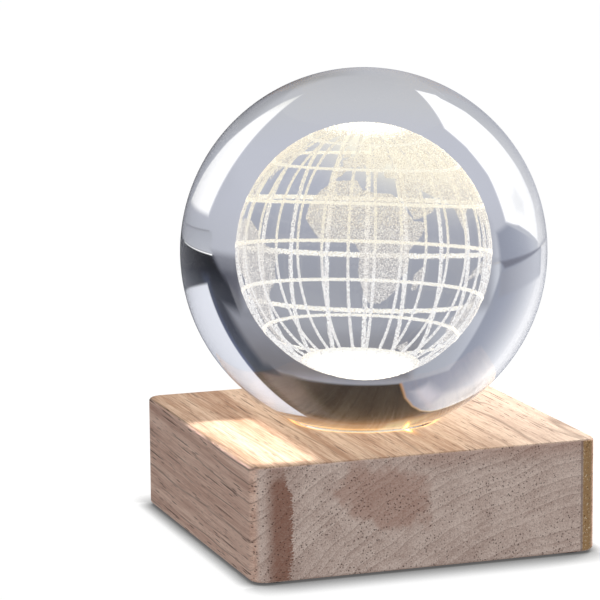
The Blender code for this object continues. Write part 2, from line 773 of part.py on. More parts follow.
def make_leads():
    under_board = board_bottom - gap
    bend_z = board_bottom - 4 * lead_radius
    tab_end = tray_inner_length / 2 - gap - contact_thickness / 2 + tab_length + gap
    tab_z = cell_axis_z
    side_y = tray_offset + tray_width / 2 + 4 * lead_radius
    switch_top = inner_floor + switch_height + gap
    make_lead("lead_red", [
        (-tab_end, cell_place(0), tab_z),
        (-tab_end - 2 * lead_radius, cell_place(0) + 2 * lead_radius, tab_z - lead_radius),
        (-lead_corner, tray_offset, lead_low),
        (-lead_corner + 2 * lead_radius, side_y - 4 * lead_radius, lead_low),
        (-lead_corner / 2 - lead_pad_place / 2, side_y, cell_axis_z),
        (-lead_pad_place, side_y, bend_z - 2 * lead_radius),
        (-lead_pad_place, lead_pad_back, under_board)], red_pvc)
    make_lead("lead_black", [
        (switch_terminal_place, switch_offset, switch_top),
        (switch_terminal_place + lead_radius, switch_offset, switch_top + 2 * lead_radius),
        (lead_pad_place, side_y + 2 * lead_radius, bend_z - 2 * lead_radius),
        (lead_pad_place, lead_pad_back, under_board)], black_pvc)
    make_lead("lead_switch", [
        (-switch_terminal_place, switch_offset, switch_top),
        (-switch_terminal_place, switch_offset, switch_top + 2 * lead_radius),
        (switch_terminal_place, side_y, cell_axis_z + 2 * lead_radius),
        (lead_corner / 2, side_y, lead_low),
        (lead_corner - 2 * lead_radius, side_y - 2 * lead_radius, lead_low),
        (lead_corner, cell_place(2) + 5 * lead_radius, tab_z - lead_radius),
        (tab_end + 2 * lead_radius, cell_place(2) + 2 * lead_radius, tab_z),
        (tab_end, cell_place(2), tab_z)], red_pvc)


make_base()
make_feet()
make_globe(make_ball())
make_lamp()
make_tray()
make_cells()
make_contacts()
make_cover()
make_door()
make_switch()
make_leads()
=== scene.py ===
import functools
import math

import bmesh
import bpy
import numpy as np
from mathutils import Matrix, Vector


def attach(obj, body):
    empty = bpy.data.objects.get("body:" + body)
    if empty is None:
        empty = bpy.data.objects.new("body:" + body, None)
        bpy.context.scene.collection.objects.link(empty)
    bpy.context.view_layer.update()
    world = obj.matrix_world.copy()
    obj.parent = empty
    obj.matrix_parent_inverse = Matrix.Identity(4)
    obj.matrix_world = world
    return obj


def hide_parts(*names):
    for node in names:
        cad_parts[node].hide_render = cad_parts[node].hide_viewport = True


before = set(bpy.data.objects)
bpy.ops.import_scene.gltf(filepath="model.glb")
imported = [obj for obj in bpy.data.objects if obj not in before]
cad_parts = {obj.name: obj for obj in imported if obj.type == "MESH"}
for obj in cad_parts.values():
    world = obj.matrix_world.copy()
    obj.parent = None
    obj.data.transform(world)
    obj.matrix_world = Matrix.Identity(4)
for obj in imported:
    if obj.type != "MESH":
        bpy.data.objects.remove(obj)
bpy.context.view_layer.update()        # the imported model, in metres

mm = 0.001


def seen(red, green, blue):
    # a colour as a screen shows it, 0 to 255 each
    def light(value):
        value /= 255
        return value / 12.92 if value <= 0.04045 else ((value + 0.055) / 1.055) ** 2.4
    return light(red), light(green), light(blue), 1.0


class Reading:
    # a socket that sums can be written with
    def __init__(self, finish, socket):
        self.finish = finish
        self.socket = socket

    def maths(self, operation, *others):
        inputs = dict(enumerate((self,) + others))
        return self.finish.node("Math", {"operation": operation}, inputs)

    def __rsub__(self, other):
        return self.finish.node("Math", {"operation": "SUBTRACT"}, {0: other, 1: self})

    def above(self, low, high):
        # 0 up to low, 1 from high on, smooth in between; low may be the larger
        return self.finish.node("MapRange", {"interpolation_type": "SMOOTHSTEP"},
                                {"Value": self, "From Min": low, "From Max": high})


for sign, operation in {"add": "ADD", "radd": "ADD", "sub": "SUBTRACT", "mul": "MULTIPLY",
                        "rmul": "MULTIPLY", "truediv": "DIVIDE", "pow": "POWER",
                        "abs": "ABSOLUTE"}.items():
    setattr(Reading, f"__{sign}__", functools.partialmethod(Reading.maths, operation))


def greatest(first, *others):
    return functools.reduce(lambda a, b: a.maths("MAXIMUM", b), others, first)


def least(first, *others):
    return functools.reduce(lambda a, b: a.maths("MINIMUM", b), others, first)


class Finish:
    # a material, or the world, that is written as expressions
    def __init__(self, name=None, tree=None):
        if tree is None:
            self.material = bpy.data.materials.new(name)
            self.material.use_nodes = True
            tree = self.material.node_tree
        self.tree = tree
        self.tree.nodes.clear()

    def node(self, kind, settings=None, inputs=None, out=0):
        made = self.tree.nodes.new("ShaderNode" + kind)
        for name, value in (settings or {}).items():
            if name == "stops":
                self.fillRamp(made.color_ramp, value)
            else:
                setattr(made, name, value)
        for name, value in (inputs or {}).items():
            if isinstance(value, Reading):
                self.tree.links.new(value.socket, made.inputs[name])
            else:
                made.inputs[name].default_value = value
        return Reading(self, made.outputs[out]) if len(made.outputs) else None

    def fillRamp(self, ramp, stops):
        while len(ramp.elements) < len(stops):
            ramp.elements.new(1.0)
        for element, (place, colour) in zip(ramp.elements, stops):
            element.position = place
            element.color = colour

    def place(self):
        # where a point is on the object, in millimetres
        return self.vector("SCALE", self.node("TexCoord", out="Object"), Scale=1 / mm)

    def vector(self, operation, first, second=None, out=0, **named):
        inputs = {0: first, **named}
        if second is not None:
            inputs[1] = second
        return self.node("VectorMath", {"operation": operation}, inputs, out)

    def xyz(self):
        return self.split(self.place())

    def split(self, vector):
        parts = self.node("SeparateXYZ", inputs={0: vector})
        outputs = parts.socket.node.outputs
        return [Reading(self, outputs[i]) for i in range(3)]

    def join(self, x, y, z):
        return self.node("CombineXYZ", inputs={0: x, 1: y, 2: z})

    def ray(self, kind):
        return self.node("LightPath", out=kind)

    def noise(self, vector, scale=1.0, detail=2.0, roughness=0.5):
        return self.node("TexNoise", inputs={"Vector": vector, "Scale": scale, "Detail": detail,
                                             "Roughness": roughness})

    def cells(self, vector, scale=1.0):
        return self.node("TexVoronoi", inputs={"Vector": vector, "Scale": scale})

    def mix(self, factor, first, second):
        return self.node("Mix", {"data_type": "RGBA"}, {0: factor, 6: first, 7: second}, 2)

    def ramp(self, factor, *stops):
        return self.node("ValToRGB", {"stops": stops}, {"Fac": factor})

    def bump(self, height, strength, distance):
        return self.node("Bump", inputs={"Height": height, "Strength": strength,
                                         "Distance": distance})

    def principled(self, **sockets):
        named = {name.replace("_", " "): value for name, value in sockets.items()}
        return self.node("BsdfPrincipled", inputs=named)

    def blend(self, amount, first, second):
        return self.node("MixShader", inputs={0: amount, 1: first, 2: second})

    def output(self, shader):
        self.node("OutputMaterial", inputs={"Surface": shader})
        return self.material

    def surface(self, **sockets):
        return self.output(self.principled(**sockets))

    def shining(self, amount, colour, strength=1.0):
        # shines where the amount is 1 and is clear where it is 0, and lights nothing round it
        light = self.node("Emission", inputs={"Color": colour, "Strength": strength})
        clear = self.node("BsdfTransparent")
        self.output(self.blend(amount, clear, light))
        self.material.cycles.emission_sampling = "NONE"
        return self.material


def dress(piece, material):
    piece.data.materials.clear()
    piece.data.materials.append(material)


def addObject(name, data):
    made = bpy.data.objects.new(name, data)
    bpy.context.scene.collection.objects.link(made)
    return made


def letGo():
    if bpy.context.object and bpy.context.object.mode != "OBJECT":
        bpy.ops.object.mode_set(mode="OBJECT")
    bpy.ops.object.select_all(action="DESELECT")


def takeUp(piece):
    letGo()
    piece.select_set(True)
    bpy.context.view_layer.objects.active = piece


def named(name):
    # the primitive just added, with its place in its mesh
    piece = bpy.context.object
    piece.name = piece.data.name = name
    bpy.ops.object.transform_apply(location=True, rotation=True, scale=True)
    return piece


def addBlock(name, width, depth, low, high):
    letGo()
    bpy.ops.mesh.primitive_cube_add(size=1, location=(0, 0, (low + high) / 2 * mm))
    bpy.context.object.scale = (width * mm, depth * mm, (high - low) * mm)
    return named(name)


def addDrum(name, radius, low, high, place=(0, 0), topRadius=None, sides=96):
    letGo()
    bpy.ops.mesh.primitive_cone_add(
        vertices=sides, radius1=radius * mm, radius2=(topRadius or radius) * mm,
        depth=(high - low) * mm, location=(place[0] * mm, place[1] * mm, (low + high) / 2 * mm))
    return named(name)


def choose(piece, kind, wanted):
    # goes into edit mode with only the wanted corners, edges or faces selected
    takeUp(piece)
    bpy.ops.object.mode_set(mode="EDIT")
    bpy.ops.mesh.select_mode(type=kind)
    bpy.ops.mesh.select_all(action="DESELECT")
    shape = bmesh.from_edit_mesh(piece.data)
    for part in {"VERT": shape.verts, "EDGE": shape.edges, "FACE": shape.faces}[kind]:
        part.select_set(bool(wanted(part)))
    bmesh.update_edit_mesh(piece.data)


def roundEdges(piece, wanted, radius, segments):
    choose(piece, "EDGE", wanted)
    bpy.ops.mesh.bevel(offset=radius * mm, segments=segments, affect="EDGES")
    letGo()


def sameLevel(edge, level):
    return all(abs(corner.co.z / mm - level) < 0.01 for corner in edge.verts)


def upright(edge):
    first, second = (corner.co / mm for corner in edge.verts)
    return abs(first.z - second.z) > 0.1 and (first.xy - second.xy).length < 0.001


def cutOut(piece, cutter):
    takeUp(piece)
    cut = piece.modifiers.new("cut", "BOOLEAN")
    cut.operation = "DIFFERENCE"
    cut.solver = "EXACT"
    cut.object = cutter
    bpy.ops.object.modifier_apply(modifier=cut.name)
    bpy.data.objects.remove(cutter)


def smoothOff(piece, degrees):
    # round faces shade round, and large flat ones stay flat
    takeUp(piece)
    bpy.ops.object.shade_smooth_by_angle(angle=math.radians(degrees))
    weighted = piece.modifiers.new("weighted", "WEIGHTED_NORMAL")
    weighted.keep_sharp = True
    weighted.weight = 100
    bpy.ops.object.modifier_apply(modifier=weighted.name)


photoView = {
    "place": (-0.22991, -0.61631, 0.16973),
    "right": (0.94363, -0.33092, -0.00795),
    "up": (0.06611, 0.16487, 0.98410),
    "lens": 183.31,
    "film": 36.0,
}


def setUpCamera(view):
    right, up = Vector(view["right"]).normalized(), Vector(view["up"])
    back = right.cross(up).normalized()
    up = back.cross(right)
    camera = addObject("photo_camera", bpy.data.cameras.new("photo_camera"))
    camera.matrix_world = Matrix.Translation(view["place"]) @ Matrix(
        (right, up, back)).transposed().to_4x4()
    camera.data.lens = view["lens"]
    camera.data.sensor_width = view["film"]
    camera.data.clip_start = 0.01
    bpy.context.scene.camera = camera
    return back


backward = setUpCamera(photoView)
bpy.context.scene.view_settings.view_transform = "Standard"
print("camera set")

# Cards round the ball, as glass sees them: the way their tones run (across, up), softness in
# degrees, corners, and tones with their places along the way. A corner is degrees right of
# straight ahead of the photograph's camera, then degrees up.
cards = {
    "ceiling": ((0, 1), 1.3, [(-80, 78), (80, 78), (66, 24), (-44, 24)], [
        (24, 50, 47, 44), (36, 50, 46, 39), (43, 68, 56, 43), (47, 100, 77, 53), (51, 156, 113, 70),
        (57, 218, 160, 90), (66, 248, 209, 142), (76, 240, 228, 204)]),
    "ceiling, lighter end": ((1, 0), 3.5, [(13, 46), (27, 45), (34, 23), (20, 23)], [
        (14, 88, 79, 70), (30, 116, 106, 102)]),
    "gold gleam": ((0, 1), 3.0, [(-33, 50), (-24, 68), (-8, 66), (-12, 50)], [
        (50, 190, 144, 92), (58, 255, 226, 160), (64, 255, 240, 210)]),
    "softbox fringe": ((1, 0), 0.5, [(-100, 47.6), (-44, 47.8), (-35.8, 48.4), (-28, 47),
        (-21.3, 43.9), (-15.4, 38.5), (-11.1, 32.2), (-8.2, 24.5), (-21.5, -4.7), (-100, -4.7)], [
        (-60, 252, 244, 222), (-30, 240, 214, 168), (-8, 200, 144, 88)]),
    "softbox left": ((0.857, -0.515), 0.6, [(-100, 47), (-44, 47.2), (-36, 47.8), (-28.3, 46.5),
        (-21.7, 43.5), (-15.8, 38.2), (-11.5, 32), (-8.7, 24.5), (-22, -4.7), (-100, -4.7)], [
        (-62, 290, 290, 292), (-56, 268, 268, 272), (-54, 250, 251, 256), (-50, 228, 230, 238),
        (-46, 207, 210, 219), (-42, 187, 190, 201), (-38, 168, 172, 186), (-34, 155, 160, 176),
        (-30, 149, 154, 170), (-26, 140, 145, 161)]),
    "softbox brow": ((1, 0), 3.0, [(-50, 45), (-36, 45.5), (-28.3, 43.5), (-23, 40.5), (-26, 35),
        (-50, 37)], [
        (-45, 246, 245, 246), (-35, 240, 238, 240), (-25, 219, 218, 222)]),
    "softbox brow, right end": ((1, 0), 2.5, [(-23, 41), (-17, 35.5), (-13.5, 29.5), (-17, 27.5),
        (-25, 34.5)], [
        (-20, 206, 204, 214)]),
    "dark flag": ((0, 1), 1.0, [(25, 25), (37.5, 27), (100, 27), (100, -7), (38, -7)], [
        (-6, 0, 0, 3), (-3.5, 8, 10, 16), (0, 24, 28, 38), (5, 37, 41, 53), (12, 49, 54, 68),
        (20, 58, 64, 78), (26, 70, 73, 80)]),
    "flag sheen": ((0, 1), 1.6, [(36.5, 27), (41, 27), (51, 0), (46.5, 0)], [
        (0, 50, 57, 76), (10, 66, 74, 102), (22, 92, 102, 138)]),
    "white card": ((0, 1), 0.6, [(28.7, 50), (60, 56), (90, 13), (48, 2.2)], [
        (0, 240, 243, 253), (60, 240, 243, 253)]),
    "near wall": ((1, 0), 0.7, [(-22.5, 22.9), (-8, 24.6), (12, 24), (26.7, 22.4), (38, -5.2),
        (-35.2, -4.7)], [
        (-36, 206, 210, 218), (-27, 192, 196, 208), (-20, 176, 180, 191), (-6, 160, 163, 174),
        (10, 160, 163, 174), (24, 125, 127, 135), (36, 110, 111, 118)]),
    "near wall, under the globe": ((0, 1), 2.4, [(-10, 22.6), (30, 22), (38, 7), (-14, 7)], [
        (6, 150, 153, 164), (12, 136, 137, 146), (18, 124, 123, 129), (24, 116, 114, 118)]),
    "wall foot": ((1, 0), 1.4, [(27, 7), (31, 4), (45, -6.5), (27, -6.5)], [
        (27, 116, 117, 127), (34, 94, 95, 106), (44, 72, 74, 86)]),
    "table": ((0, 1), 0.3, [(-190, -4.9), (33, -4.9), (42, -6), (190, -6), (190, -100),
        (-190, -100)], [
        (-70, 189, 190, 193), (-50, 196, 198, 203), (-35, 195, 198, 209), (-20, 196, 199, 211),
        (-12, 192, 195, 206), (-5, 190, 193, 204)]),
    "far shelf": ((0, 1), 0.3, [(44, -6.3), (80, -6.3), (80, -11.3), (45, -11.9)], [
        (-12, 178, 181, 191), (-9, 188, 191, 201), (-5, 196, 199, 207)]),
    "shelf line": ((0, 1), 0.25, [(47, -11.7), (78, -11.1), (78, -11.7), (47, -12.2)], [
        (-12, 160, 162, 170)]),
    "table edge in shade": ((0, 1), 1.3, [(27, -2.5), (39, -2.5), (44.2, -7), (27, -7)], [
        (-7, 146, 148, 158), (-2, 104, 106, 116)]),
    "horizon gleam": ((1, 0), 0.18, [(44, -5.85), (74, -5.85), (74, -6.2), (44, -6.2)], [
        (40, 285, 285, 287)]),
    "table, left end": ((-0.9, -0.44), 1.1, [(-67, -3), (-34, -3), (-33, -12), (-60, -20)], [
        (36, 145, 150, 166), (40, 151, 156, 172), (44, 160, 165, 180), (48, 172, 176, 190),
        (52, 190, 194, 206), (57, 208, 211, 220), (62, 218, 220, 227)]),
    "table, left end, far edge": ((1, 0), 1.0, [(-66, 4), (-34, 4), (-34, -2.4), (-66, -4.6)], [
        (-60, 206, 209, 219), (-36, 150, 153, 166)]),
    "dark rail": ((1, 0), 0.5, [(-66, -4.5), (-36, -3.0), (-34, -4.9), (-66, -4.9)], [
        (-60, 128, 130, 144), (-40, 112, 114, 128)]),
    "left limb": ((0, 1), 1.2, [(-100, -5.5), (-62, -5.5), (-50, -60), (-100, -60)], [
        (-48, 198, 200, 204), (-28, 226, 227, 230), (-10, 256, 256, 258)]),
    "behind the globe": ((0, 1), 2.0, [(-31, 6), (31, 6), (31, -14), (22, -33), (-22, -33),
        (-31, -14)], [
        (-34, 190, 193, 205), (-22, 180, 184, 197), (-12, 166, 169, 181), (-4, 159, 162, 173),
        (6, 157, 160, 171)]),
    "window left": ((0, 1), 0.8, [(-61.7, -7), (-38.3, -14.5), (-36.4, -25.5), (-40, -57.5),
        (-51.7, -50), (-58.3, -40), (-63.3, -28.3), (-65, -18.3)], [
        (0, 285, 285, 287)]),
    "window left, middle": ((0, 1), 0.8, [(-37.5, -24), (-32.3, -33.6), (-33, -48), (-44, -46),
        (-45, -28)], [
        (0, 285, 285, 287)]),
    "window left, low": ((0, 1), 0.8, [(-34, -32), (-26.7, -40.5), (-30, -60), (-42, -58),
        (-44, -40)], [
        (0, 285, 285, 287)]),
    "window right": ((0, 1), 1.2, [(49.7, -16.2), (75.8, -18.3), (70.8, -28.3), (63.3, -38.3),
        (53.3, -46.7), (43.3, -54.2), (35, -57.5)], [
        (-58, 236, 238, 236), (-53, 256, 256, 252), (-47, 285, 285, 287)]),
    "window hill": ((0, 1), 0.5, [(-61.7, -6.4), (-37.6, -14.0), (-45.5, -13.1), (-53.0, -10.6),
        (-58.8, -8.1)], [
        (-14, 188, 191, 202), (-8, 204, 207, 215)]),
    "window smear": ((0, 1), 2.6, [(-52, -15), (-45, -16), (-44, -21), (-50, -24), (-54, -19)], [
        (-20, 258, 259, 261)]),
}

studio = {
    "daylight": (0.47, 0.47, 0.47, 1.0),
    "wall": seen(178, 181, 192),
    "toneSpan": 100,                 # the cards' tones reach this many degrees each way
    # what smooth faces mirror, and its darker left end: softness and corners
    "mirrored": seen(150, 150, 154),
    "mirroredDark": seen(44, 46, 54),
    "mirroredFlag": (5.0, [(-90, 26), (-2, 26), (-2, -14), (-90, -14)]),
    "floorRadius": 1.6,
    "floorGlow": 0.975,              # for the camera
    "floorBounce": 0.25,             # for the object
    "floorColour": (0.06, 0.06, 0.06, 1.0),
    "shadeReach": (0.0034, 0.009),   # beside the base, and before it
    "shadeFrom": 38.7,               # just outside the base's sides
    "shadeCurve": 2.4,
    "shadeLeast": 0.10,
    # places that lamps shine onto are in millimetres, reaches and sizes in metres
    "lamps": [
        {"name": "sun", "kind": "SUN", "power": 0.22, "comingFrom": (0.10, 0.22, 1.0),
         "color": (1.0, 0.95, 0.89), "angle": math.radians(30)},
        {"name": "side_lamp", "kind": "AREA", "power": 0.86, "comingFrom": (0.82, 0.34, 0.46),
         "onto": (10, 0, 25), "reach": 0.17, "size": 0.07, "color": (1.0, 0.95, 0.89)},
        {"name": "front_lamp", "kind": "AREA", "power": 1.9, "comingFrom": (-0.42, -0.86, 0.30),
         "reach": 0.9, "size": 0.6},
        {"name": "beam", "kind": "AREA", "power": 0.0054, "comingFrom": (0, 0, 1),
         "onto": (-31.2, -14.2, 25.0), "reach": 0.12, "shape": "RECTANGLE", "size": 0.0148,
         "size_y": 0.0425, "spread": math.radians(3.2)},
    ],
}


def cardMask(finish, across, height, softness, corners):
    # inside all the card's edges; corners go round clockwise as seen from the ball
    distances = []
    for (x0, y0), (x1, y1) in zip(corners, corners[1:] + corners[:1]):
        long = math.hypot(x1 - x0, y1 - y0)
        nx, ny = (y1 - y0) / long, -(x1 - x0) / long
        distances.append(across * nx + height * ny - (x0 * nx + y0 * ny))
    return least(*distances).above(-softness, softness)


def paintStudio(studio, cards):
    world = bpy.data.worlds.new("studio")
    bpy.context.scene.world = world
    world.use_nodes = True
    finish = Finish(tree=world.node_tree)
    ahead = Vector((-backward.x, -backward.y, 0)).normalized()
    beside = Vector((ahead.y, -ahead.x, 0))
    direction = finish.node("TexCoord", out="Generated")
    forward = finish.vector("DOT_PRODUCT", direction, tuple(ahead), out="Value")
    sideways = finish.vector("DOT_PRODUCT", direction, tuple(beside), out="Value")
    upward = finish.split(direction)[2]
    # what is behind the camera mirrors what is ahead of it
    across = sideways.maths("ARCTAN2", abs(forward)) * math.degrees(1)
    height = upward.maths("ARCSINE") * math.degrees(1)

    colour = studio["wall"]
    span = studio["toneSpan"]
    for way, softness, corners, tones in cards.values():
        stops = [((angle + span) / (2 * span), seen(*tone)) for angle, *tone in tones]
        along = across * way[0] + height * way[1]
        tone = finish.ramp((along + span) / (2 * span), *stops)
        colour = finish.mix(cardMask(finish, across, height, softness, corners), colour, tone)

    plain = finish.mix(finish.ray("Is Camera Ray"), studio["daylight"], (1.0, 1.0, 1.0, 1.0))
    mirrored = finish.mix(forward.above(-0.2, 0.7), studio["mirrored"], studio["wall"])
    darkSide = cardMask(finish, across, height, *studio["mirroredFlag"])
    mirrored = finish.mix(darkSide, mirrored, studio["mirroredDark"])
    shown = finish.mix(finish.ray("Is Glossy Ray"), plain, mirrored)
    shown = finish.mix(finish.ray("Is Transmission Ray"), shown, colour)
    background = finish.node("Background", inputs={"Color": shown, "Strength": 1.0})
    finish.node("OutputWorld", inputs={"Surface": background})


def addFloor(studio):
    letGo()
    bpy.ops.mesh.primitive_circle_add(vertices=96, radius=studio["floorRadius"],
                                      fill_type="NGON")
    floor = named("floor")
    finish = Finish("floor_paper")
    seenHere = finish.ray("Is Camera Ray")
    x, y, z = finish.xyz()
    beside, before = (greatest(abs(way) - studio["shadeFrom"], 0.01) for way in (x, y))
    low, high = studio["shadeReach"]
    reach = low + before / (beside + before) * (high - low)
    shade = finish.node("AmbientOcclusion", {"samples": 16}, {"Distance": reach}, "AO")
    shade = shade ** studio["shadeCurve"] * (1 - studio["shadeLeast"]) + studio["shadeLeast"]
    strength = seenHere * shade * studio["floorGlow"] + (1 - seenHere) * studio["floorBounce"]
    paper = finish.node("BsdfDiffuse", inputs={"Color": studio["floorColour"]})
    glow = finish.node("Emission", inputs={"Strength": strength})
    sheet = finish.node("AddShader", inputs={0: paper, 1: glow})
    # from below the paper isn't there, so the underside can be seen
    below = finish.node("NewGeometry", out="Backfacing")
    away = finish.node("BsdfTransparent")
    dress(floor, finish.output(finish.blend(below, sheet, away)))
    floor.visible_glossy = False          # glass and gloss see the studio's table instead
    floor.visible_transmission = False


def addLamp(name, kind, power, comingFrom, onto=(0, 0, 0), reach=0.5, **settings):
    lamp = addObject(name, bpy.data.lights.new(name, kind))
    toLamp = Vector(comingFrom).normalized()
    lamp.matrix_world = Matrix.Translation(Vector(onto) * mm + toLamp * reach) @ (
        toLamp.to_track_quat("Z", "Y").to_matrix().to_4x4())
    lamp.visible_glossy = lamp.visible_transmission = False
    lamp.data.energy = power
    for setting, value in settings.items():
        setattr(lamp.data, setting, value)


paintStudio(studio, cards)
addFloor(studio)
for lamp in studio["lamps"]:
    addLamp(**lamp)
print("studio ready")

glassBall = {
    "radius": 40.0,
    "middle": 61.9,
    "turns": 256,
    "bend": 1.517,
}


def spinBall(name, radius, turns):
    # half a ring, spun all the way round
    letGo()
    bpy.ops.mesh.primitive_circle_add(vertices=turns, radius=radius * mm,
                                      rotation=(math.pi / 2, 0, 0))
    piece = named(name)
    bpy.ops.object.mode_set(mode="EDIT")
    bpy.ops.mesh.select_all(action="SELECT")
    bpy.ops.mesh.bisect(plane_co=(0, 0, 0), plane_no=(1, 0, 0), clear_inner=True)
    bpy.ops.mesh.select_all(action="SELECT")
    bpy.ops.mesh.spin(steps=turns, angle=2 * math.pi, center=(0, 0, 0), axis=(0, 0, 1))
    bpy.ops.mesh.select_all(action="SELECT")
    bpy.ops.mesh.remove_doubles(threshold=0.00001)
    bpy.ops.mesh.dissolve_degenerate(threshold=0.000001)
    bpy.ops.mesh.normals_make_consistent(inside=False)
    bpy.ops.transform.translate(value=(0, 0, glassBall["middle"] * mm))
    letGo()
    takeUp(piece)
    bpy.ops.object.shade_smooth()
    return piece


def crystalGlass(ball):
    finish = Finish("polished_crystal")
    glass = finish.principled(Base_Color=(1, 1, 1, 1), Roughness=0.0, IOR=ball["bend"],
                              Transmission_Weight=1.0)
    # the lamps' light passes straight through
    through = finish.node("BsdfTransparent")
    return finish.output(finish.blend(finish.ray("Is Shadow Ray"), glass, through))


crystal = spinBall("crystal_ball", glassBall["radius"], glassBall["turns"])
dress(crystal, crystalGlass(glassBall))
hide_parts("glass_ball")
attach(crystal, "ball")
print("ball ready")

engraving = {
    "radius": 18.45,
    "lean": 12.8,
    "leanTowards": 60.7,
    "turn": -125.4,
    # lines
    "meridians": 25,
    "firstMeridian": 6.5,
    "meridianWidth": 0.62,
    "meridianSpan": 150,       # degrees from end to end
    "parallels": (-62.6, -39.3, -18.9, 1.9, 22.6, 43.4, 63.0),
    "parallelWidth": 0.66,
    "bandStep": 3,             # degrees
    "lineDepth": 0.34,
    "lineEnd": 0.52,           # the sand thins out to nothing at this share of the width
    "lineWarms": (-3, 9),      # between these heights over the ball's middle
    "lineDulls": (0.45, 0.10),     # brightness from which a grain turns dull
    "grainEdge": 0.06,
    "sand": 0.11,              # width of one grain in the lines
    # flecks, to a millimetre, and their sizes
    "meridianFlecks": 14,
    "fleckSpan": 152,
    "parallelFlecks": 22,
    "fleck": 0.06,
    "capFleck": 0.09,
    "fleckShake": 0.04,
    # land and caps
    "coastRise": 1.9,          # the land lies as much higher as the lines do
    "landSand": 0.16,
    "landSpacing": 0.24,
    "landInset": 0.05,
    "filmRadius": 18.3,
    "filmSteps": 8,
    "filmFill": (0.34, 0.56),  # least share of light, and what the grains add
    "landWarms": (-4, 14),
    "landDulls": (0.60, 0.15),
    "southCap": -63.5,
    "southRag": 4,             # degrees over which the caps' flecks thin out
    "northCap": 69.0,
    "northRag": 14,
    "capSpacing": 0.16,
    # slits in the far side of the south cap: degrees round and up, and where they fade in
    "slitSize": (2.4, 4.5),
    "slitEdge": (0.54, 0.58),
    "slitsAbove": (-77.0, -75.5),
    "slitsBehind": (1.0, 3.0),
    "slitDepth": 0.85,
    "flecksEnd": (1.5, -77),   # no flecks over the slits: behind this, above this latitude
}

